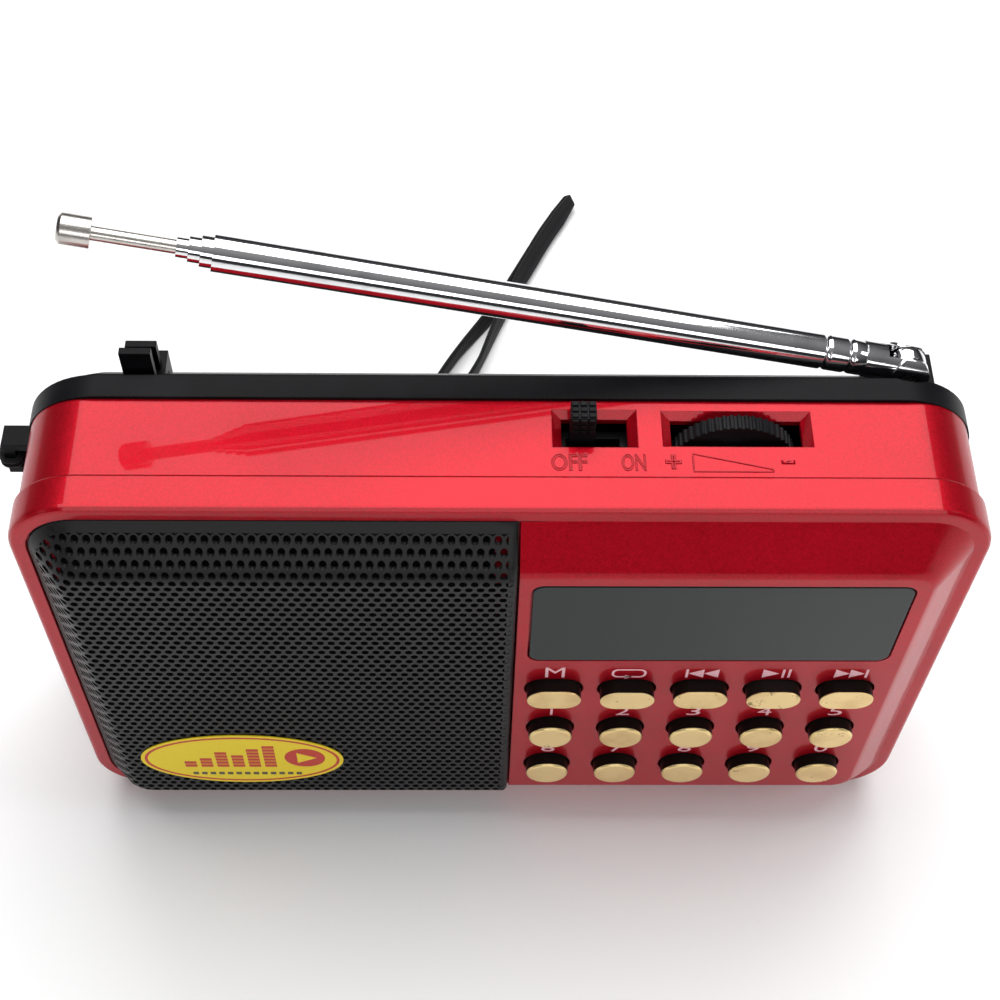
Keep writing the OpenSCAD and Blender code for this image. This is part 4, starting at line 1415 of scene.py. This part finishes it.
@dataclass
class KeyPanel:
    """Keys with gold foil faces, their printed marks and the display window.

    Attributes:
        above: gap between a key's hole and its mark.
        digit: height of a digit.
        sign: height of a function mark.
        line: width of a printed line.
        film: thickness of the ink.
    """

    above: float = 0.42 * MM
    digit: float = 2.3 * MM
    sign: float = 2.7 * MM
    line: float = 0.34 * MM
    film: float = 0.012 * MM
    keys: List[str] = field(default_factory=lambda: [m.value for m in Mark] + ["key_%d" % n for n in range(10)])

    def build(self) -> None:
        """Builds and dresses keys, print and window."""
        self.level = corner("display_lens")[0].y + 0.05 * MM
        parts = []
        for node in self.keys:
            self.key(node)
            low, high = corner(node)
            hole_top = high.z - 0.6 * MM + 0.35 * MM + self.above
            middle = (low.x + high.x) / 2
            if node[4:].isdigit():
                parts.append(lettering(node + "_digit", node[4:], middle, hole_top, hole_top + self.digit,
                                       Facing.FRONT, self.level, Finishes.PRINT, wide=1.9 * MM if node != "key_1" else 0.0))
            else:
                parts.append(self.sign_for(Mark(node), middle, hole_top + 0.1 * MM))
        ride_like(merge("panel_print", parts), "front_shell")
        adopt("display_lens", Finishes.LENS, bevel=0.12 * MM)
        adopt("display_module", Finishes.MODULE, bevel=0.1 * MM)

    def key(self, node: str) -> None:
        """Dresses a key: foil on its front face, black plastic round it.

        Args:
            node: the key's CAD node.
        """
        worn = node in ("key_previous", "key_play", "key_5")
        cap = adopt(node, Finishes.KEY, bevel=0.16 * MM)
        cap.data.materials.append((Finishes.GOLD_WORN if worn else Finishes.GOLD).material())
        front = corner(node)[0].y
        for polygon in cap.data.polygons:
            if polygon.normal.y < -0.35 and polygon.center.y < front + 0.4 * MM:
                polygon.material_index = 1

    def sign_for(self, mark: Mark, x: float, low: float) -> bpy.types.Object:
        """The printed mark of a function key.

        Args:
            mark: which mark.
            x: its middle.
            low: its lower edge.

        Returns:
            The mark as a piece.
        """
        name = mark.value + "_sign"
        if mark is Mark.MODE:
            return lettering(name, "M", x, low, low + self.sign, Facing.FRONT, self.level, Finishes.PRINT,
                    wide=2.6 * MM)
        high = low + self.sign * 0.84
        mid = (low + high) / 2
        tall = high - low
        shapes: List[List[Flat]] = []

        def bar(at: float) -> None:
            """A thin upright bar."""
            shapes.append([(at, low), (at + self.line, low), (at + self.line, high), (at, high)])

        def arrow(at: float, wide: float) -> None:
            """A solid arrow head from at, pointing along its width."""
            tip = (at + wide, mid)
            ends = [(at, high), (at, low)] if wide < 0 else [(at, low), (at, high)]
            shapes.append([ends[0], tip, ends[1]] if wide > 0 else [ends[0], tip, ends[1]])

        if mark is Mark.REPEAT:
            path = rounded_path(x, mid, 4.3 * MM, tall * 0.86, 0.8 * MM)
            shapes = stroke(path, self.line, closed=True)
            shapes.append([(x - 0.5 * MM, low - 0.35 * MM), (x + 0.6 * MM, low + 0.14 * MM),
                    (x - 0.5 * MM, low + 0.65 * MM)])
        elif mark is Mark.PREVIOUS:
            bar(x - 2.3 * MM)
            arrow(x + 0.1 * MM, -2.0 * MM)
            arrow(x + 2.1 * MM, -2.0 * MM)
        elif mark is Mark.PLAY:
            arrow(x - 1.9 * MM, 2.2 * MM)
            bar(x + 0.7 * MM)
            bar(x + 1.5 * MM)
        else:
            arrow(x - 2.1 * MM, 2.0 * MM)
            arrow(x - 0.1 * MM, 2.0 * MM)
            bar(x + 2.0 * MM)
        return decal(name, shapes, Facing.FRONT, self.level, self.film, Finishes.PRINT)


@dataclass
class Controls:
    """Power switch and volume wheel in the top.

    Attributes:
        pips: pips along each side of the switch knob's grips.
        pip: height of a pip.
    """

    pips: int = 3
    pip: float = 0.28 * MM

    def build(self) -> None:
        """Builds and dresses the switch and the wheel."""
        knob = self.knob()
        ride_like(knob, "slide_switch_knob")
        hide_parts("slide_switch_knob")
        adopt("volume_wheel", Finishes.CONTROL, bevel=0.05 * MM, angle=20)
        adopt("wheel_screw", Finishes.STEEL, bevel=0.1 * MM)
        adopt("slide_switch_body", Finishes.CONTROL, bevel=0.08 * MM)
        adopt("volume_pot_body", Finishes.BRIGHT, bevel=0.1 * MM)
        recoat("volume_pot_shaft", Finishes.STEEL)

    def knob(self) -> bpy.types.Object:
        """The switch knob: a body with rows of square pips on its top and front.

        Returns:
            The knob.
        """
        low, high = corner("slide_switch_knob")
        work = bmesh.new()
        stem_low, stem_high = Vector((low.x + 0.3 * MM, 0, low.z)), Vector((high.x - 0.3 * MM, 0, 0))
        middle_y = (low.y + high.y) / 2
        seat = low.z + 1.7 * MM
        boxes = [(Vector((low.x, low.y + self.pip, seat)), Vector((high.x, high.y, high.z - self.pip))),
                 (Vector((stem_low.x, middle_y - 0.8 * MM, low.z)),
                         Vector((stem_high.x, middle_y + 0.8 * MM, seat)))]
        step = (high.x - low.x) / self.pips
        top_step = (high.y - low.y - self.pip) / self.pips
        for a in range(self.pips):
            for b in range(self.pips):
                x0 = low.x + a * step + 0.12 * MM
                y0 = low.y + self.pip + b * top_step + 0.12 * MM
                z0 = high.z - self.pip - (b + 1) * step + 0.12 * MM
                boxes.append((Vector((x0, y0, high.z - self.pip - 0.05 * MM)),
                              Vector((x0 + step - 0.24 * MM, y0 + top_step - 0.24 * MM, high.z))))
                boxes.append((Vector((x0, low.y, z0)),
                              Vector((x0 + step - 0.24 * MM, low.y + self.pip + 0.05 * MM,
                                      z0 + step - 0.24 * MM))))
        for a, b in boxes:
            made = bmesh.ops.create_cube(work, size=1.0)["verts"]
            for vertex in made:
                vertex.co = Vector([a[k] + (vertex.co[k] + 0.5) * (b[k] - a[k]) for k in range(3)])
        mesh = bpy.data.meshes.new("switch_knob_looks")
        work.to_mesh(mesh)
        work.free()
        piece = put("switch_knob_looks", mesh, Finishes.CONTROL)
        cut = piece.modifiers.new("edges", "BEVEL")
        cut.width = 0.09 * MM
        cut.segments = 2
        settle(piece)
        smooth(piece.data, 35)
        return piece


@dataclass
class Antenna:
    """Telescopic antenna on its swivel.

    Attributes:
        bevel: width of the tubes' broken edges.
    """

    bevel: float = 0.07 * MM

    def build(self) -> None:
        """Dresses every part of the antenna."""
        for node in ("antenna_tube_1", "antenna_tube_2", "antenna_tube_3", "antenna_tube_4"):
            adopt(node, Finishes.ANTENNA, bevel=self.bevel, angle=32)
        adopt("antenna_rod", Finishes.CAP, bevel=self.bevel, angle=32)
        adopt("antenna_clevis", Finishes.ANTENNA, bevel=0.1 * MM, angle=32)
        adopt("antenna_swivel", Finishes.ANTENNA, bevel=0.1 * MM, angle=32)
        adopt("antenna_pin", Finishes.STEEL, bevel=0.1 * MM, angle=32)
        recoat("antenna_screw", Finishes.STEEL)


@dataclass
class Electronics:
    """Board, switches, sockets and battery."""

    plan: Dict[str, Finish] = field(default_factory=lambda: {
        "main_board": Finishes.BOARD, "tact_switches": Finishes.KEY, "battery_contacts": Finishes.CONTACT,
        "board_screws": Finishes.STEEL})
    shown: Dict[str, Finish] = field(default_factory=lambda: {
        "battery_pack": Finishes.CELL, "usb_socket": Finishes.BRIGHT, "card_socket": Finishes.BRIGHT,
        "headphone_jack": Finishes.CONTROL, "charge_socket": Finishes.BRIGHT})

    def build(self) -> None:
        """Dresses the inner parts and the sockets that show in the right side."""
        for node, finish in self.plan.items():
            recoat(node, finish)
        for node, finish in self.shown.items():
            adopt(node, finish, bevel=0.06 * MM)


@dataclass
class Strap:
    """Wrist strap: a doubled loop cord from the lug, a moulded joiner and doubled tape.

    Attributes:
        tape_high: width of the tape, which lies on edge.
        tape_thick: its thickness.
        strand: diameter of one strand of the loop cord.
        spread: half the gap where the doubled tape opens.
        lean: how far the doubled tape leans over near its tip, in radians.
    """

    tape_high: float = 3.3 * MM
    tape_thick: float = 0.75 * MM
    strand: float = 0.78 * MM
    spread: float = 2.0 * MM
    lean: float = 0.62
    cord_route: Tuple[Point, ...] = (
        (-61.3, 6.6, 63.2), (-61.3, 8.6, 63.2), (-61.5, 10.2, 62), (-62, 10.8, 59), (-62.6, 11, 55), (-63,
                11.1, 50),
        (-63, 11.2, 44), (-63, 11.3, 38), (-63, 11.4, 32), (-63, 11.5, 26), (-63, 11.7, 20), (-63, 12, 14),
        (-62.9, 12.8, 9), (-62.8, 14.2, 5), (-62.6, 16.4, 2.7), (-62.35, 18.25, 2), (-62.2, 20, 2))
    tape_route: Tuple[Point, ...] = (
        (-61.6, 27, 2), (-61.3, 30.5, 2), (-59.8, 34.4, 2), (-56, 38.2, 2), (-50, 41.2, 2), (-42, 43.6,
                2), (-34, 45, 2), (-26, 47, 2),
        (-19, 50.6, 2), (-13, 56, 2), (-8.6, 62.4, 2), (-5, 69, 2), (-2.4, 74.2, 2), (0.3, 79.6, 2), (3, 85,
                2),
        (5.6, 90.4, 2), (8, 95.4, 2), (10.4, 100.4, 2), (13, 105.2, 2), (15.2, 109.4, 2))

    def build(self) -> None:
        joiner = self.joiner()
        loop = self.loop()
        tape = self.tape()
        hitch = self.hitch()
        for piece, node in ((joiner, "strap_connector"), (loop, "strap_cord"), (tape, "strap_webbing")):
            ride_like(piece, node)
            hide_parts(node)
        ride_like(hitch, "back_cover")
        self.length(self.cord_route)
        self.length(self.tape_route)

    def length(self, route: Sequence[Point]) -> float:
        """Length of a route.

        Args:
            route: its points in millimetres.

        Returns:
            Its length in metres.
        """
        curve = follow(route, 6)
        return sum((b - a).length for a, b in zip(curve, curve[1:]))

    def loop(self) -> bpy.types.Object:
        """The two strands of the loop cord, lightly twisted.

        Returns:
            The loop cord.
        """
        curve = follow(self.cord_route, 5)
        ring = [(self.strand / 2 * math.cos(a),
                self.strand / 2 * math.sin(a)) for a in (k * math.pi / 5 for k in range(10))]
        parts = []
        for side in (1, -1):
            path = []
            for k, point in enumerate(curve):
                ahead = (curve[min(k + 1, len(curve) - 1)] - curve[max(k - 1, 0)]).normalized()
                across = ahead.cross(Vector((1, 0, 0))).normalized()
                rise = across.cross(ahead)
                turn = k * 0.16
                path.append(point + (across * math.cos(turn) + rise * math.sin(turn)) * self.strand * 0.5 * side)
            parts.append(put("strand", sweep("strand", path, lambda k: ring, Vector((1, 0, 0))),
                    Finishes.LOOP))
        return merge("strap_loop_cord", parts)

    def hitch(self) -> bpy.types.Object:
        """The loop cord's hitch round the bar of the lug.

        Returns:
            The hitch.
        """
        low = corner("back_cover")[0]
        bar_x, bar_y, bar_z = low.x + 0.8 * MM, 7.0 * MM, 63.0 * MM
        ring = [(self.strand / 2 * math.cos(a),
                self.strand / 2 * math.sin(a)) for a in (k * math.pi / 5 for k in range(10))]
        parts = []
        for lift in (-0.42, 0.42):
            path = []
            for k in range(40):
                a = 2 * math.pi * k / 40
                reach_x = 1.28 * MM * math.copysign(abs(math.cos(a)) ** 0.6, math.cos(a))
                reach_y = 2.08 * MM * math.copysign(abs(math.sin(a)) ** 0.6, math.sin(a))
                path.append(Vector((bar_x + reach_x, bar_y + reach_y,
                        bar_z + (lift + 0.25 * math.sin(a)) * MM)))
            parts.append(put("turn", sweep("turn", path, lambda k: ring, Vector((0, 0, 1)), closed=True),
                    Finishes.LOOP))
        return merge("strap_hitch", parts)

    def joiner(self) -> bpy.types.Object:
        """The moulded joiner between the loop cord and the tape.

        Returns:
            The joiner.
        """
        start, end = Vector((-62.2, 20, 2)) * MM, Vector((-61.6, 27, 2)) * MM
        path = [start.lerp(end, t) for t in (0, 0.03, 0.1, 0.25, 0.5, 0.75, 0.9, 0.97, 1)]
        swell = (0.62, 0.78, 0.9, 0.96, 1.0, 0.98, 0.94, 0.86, 0.7)

        def section(k: int) -> List[Flat]:
            """A rounded section of the joiner."""
            return [(x, y) for x, y in rounded_path(0, 0.05 * MM, 3.0 * MM * swell[k], 3.5 * MM * swell[k],
                    1.1 * MM * swell[k])]

        return put("strap_joiner", sweep("strap_joiner", path, section, Vector((0, 0, 1))),
                Finishes.CONNECTOR)

    def tape(self) -> bpy.types.Object:
        """The doubled tape on edge, opening a little on its way and folded round at its tip.

        Returns:
            The tape.
        """
        curve = follow(self.tape_route, 6)
        total = len(curve)
        ways: List[List[Vector]] = [[], []]
        leans: List[float] = []
        for k, point in enumerate(curve):
            ahead = (curve[min(k + 1, total - 1)] - curve[max(k - 1, 0)]).normalized()
            across = ahead.cross(Vector((0, 0, 1))).normalized()
            share = k / (total - 1)
            opening = math.exp(-((share - 0.56) / 0.13) ** 2)
            gap = self.tape_thick * 0.56 + self.spread * opening
            lean = self.lean * min(max((share - 0.6) / 0.2, 0.0), 1.0)
            leans.append(lean)
            way_out = across * math.cos(lean) + Vector((0, 0, 1)) * math.sin(lean)
            for way, side in zip(ways, (1, -1)):
                way.append(point + way_out * gap * side)
        ahead = (curve[-1] - curve[-2]).normalized()
        across = ahead.cross(Vector((0, 0, 1))).normalized()
        way_out = across * math.cos(self.lean) + Vector((0, 0, 1)) * math.sin(self.lean)
        turn = [math.pi * k / 8 for k in range(1, 8)]
        tip = [curve[-1] + (ahead * math.sin(a) * 1.3 + way_out * math.cos(a)) * self.tape_thick * 0.56 for a in turn]
        path = ways[0] + tip + list(reversed(ways[1]))
        turns = leans + [self.lean * math.cos(a) for a in turn] + [-lean for lean in reversed(leans)]
        edge = rounded_path(0, 0, self.tape_thick, self.tape_high, self.tape_thick * 0.45, 3)

        def section(k: int) -> List[Flat]:
            """The tape's section, leaning as the doubled tape does, and narrower at the fold."""
            c, s = math.cos(turns[k]), math.sin(turns[k])
            near_tip = abs(k - total - 3) / 10
            squeeze = min(1.0, 0.62 + 0.38 * near_tip)
            return [(x * c - y * squeeze * s, x * s + y * squeeze * c) for x, y in edge]

        return put("strap_tape", sweep("strap_tape", path, section, Vector((0, 0, 1))), Finishes.TAPE)


# ---------------------------------------------------------------- studio


@dataclass
class Studio:
    """Pale table, soft lights and the camera.

    Attributes:
        eye: the camera's place.
        back: direction from the subject to the camera.
        across: level direction to the camera's right.
        roll: turn about the line of sight, in degrees.
        lens: focal length in millimetres on a 36 mm sensor.
    """

    eye: Point = (-4.385 * MM, -123.110 * MM, 246.787 * MM)
    back: Point = (-0.019536, -0.554161, 0.832200)
    across: Point = (0.999379, -0.035231, 0.0)
    roll: float = 1.886
    lens: float = 61.87

    def build(self) -> None:
        """Makes the camera, the table, the lights and the surroundings."""
        self.camera()
        self.table()
        self.lights()
        self.surroundings()

    def camera(self) -> None:
        """The scene's camera."""
        view = bpy.data.cameras.new("main_camera")
        view.lens = self.lens
        view.sensor_width = 36
        view.clip_start = 0.01
        holder = bpy.data.objects.new("main_camera", view)
        back = Vector(self.back).normalized()
        across = Vector(self.across).normalized()
        up = back.cross(across)
        turn = math.radians(self.roll)
        x = across * math.cos(turn) + up * math.sin(turn)
        y = up * math.cos(turn) - across * math.sin(turn)
        rows = [[x[k], y[k], back[k], self.eye[k]] for k in range(3)] + [[0, 0, 0, 1]]
        holder.matrix_world = Matrix(rows)
        bpy.context.scene.collection.objects.link(holder)
        bpy.context.scene.camera = holder

    def table(self) -> None:
        """A plain pale table."""
        mesh = from_lists("table", [(-3, -3, 0), (3, -3, 0), (3, 3, 0), (-3, 3, 0)], [[0, 1, 2, 3]])
        top = put("table", mesh, Ink("table_white", colour=(0.93, 0.93, 0.93), thin=(0.92, 0.92, 0.92),
                rough=0.6))

    def light(self, name: str, place: Point, aim: Point, wide: float, high: float, power: float,
              tint: Colour = (1, 1, 1)) -> None:
        """One soft rectangular light.

        Args:
            name: its name.
            place: where it is.
            aim: what it points at.
            wide: its width.
            high: its height.
            power: its power in watts.
            tint: its colour.
        """
        lamp = bpy.data.lights.new(name, "AREA")
        lamp.shape = "RECTANGLE"
        lamp.size = wide
        lamp.size_y = high
        lamp.energy = power
        lamp.color = tint
        holder = bpy.data.objects.new(name, lamp)
        holder.location = place
        holder.rotation_euler = (Vector(aim) - Vector(place)).to_track_quat("-Z", "Y").to_euler()
        bpy.context.scene.collection.objects.link(holder)

    def lights(self) -> None:
        """The soft lights."""
        self.light("overhead_back", (0.05, 0.55, 0.72), (0, 0, 0.06), 0.9, 0.4, 4.4)
        self.light("overhead", (0.0, 0.2, 1.0), (0, 0, 0.04), 1.2, 0.55, 7.6)
        self.light("front_high", (0.1, -1.0, 0.6), (0, 0, 0.04), 1.2, 0.35, 4.0)
        self.light("left_front", (-0.75, -0.5, 0.55), (0, 0, 0.04), 0.4, 0.6, 0.5)
        self.light("right_side", (0.8, -0.1, 0.45), (0, 0, 0.04), 0.25, 0.6, 1.6)

    def surroundings(self) -> None:
        """A pale room that darkens near the horizon."""
        world = bpy.data.worlds.new("room")
        world.use_nodes = True
        world.node_tree.nodes.clear()
        tree = Tree(world.node_tree)
        way = tree.out("ShaderNodeTexCoord", "Generated")
        up = tree.out("ShaderNodeSeparateXYZ", 2, {}, {0: way})
        ramp = tree.out("ShaderNodeValToRGB", 0, {"stops": (
            (0.0, (0.5, 0.5, 0.5)), (0.46, (0.10, 0.10, 0.105)), (0.6, (0.05, 0.05, 0.055)), (0.8,
                    (0.26, 0.26, 0.27)),
            (0.92, (0.5, 0.5, 0.51)), (1.0, (0.7, 0.7, 0.7)))}, {0: up * 0.5 + 0.5})
        light = tree.out("ShaderNodeBackground", 0, {}, {"Color": ramp, "Strength": 0.5})
        tree.node("ShaderNodeOutputWorld", {}, {"Surface": light})
        bpy.context.scene.world = world
        bpy.context.scene.view_settings.view_transform = "Standard"


def main() -> None:
    """Builds the radio and its studio in order."""
    random.seed(4)
    steps: Tuple[Tuple[str, Any], ...] = (
        ("studio", Studio()), ("strap", Strap()), ("housing", Housing()), ("grille", Grille()), ("label",
                Sticker()),
        ("key panel", KeyPanel()), ("controls", Controls()), ("antenna", Antenna()), ("electronics",
                Electronics()))
    for name, part in steps:
        part.build()
        LOG.info("built %s", name)


if __name__ == "__main__":
    logging.basicConfig(level=logging.INFO, format="%(name)s: %(message)s")
    main()
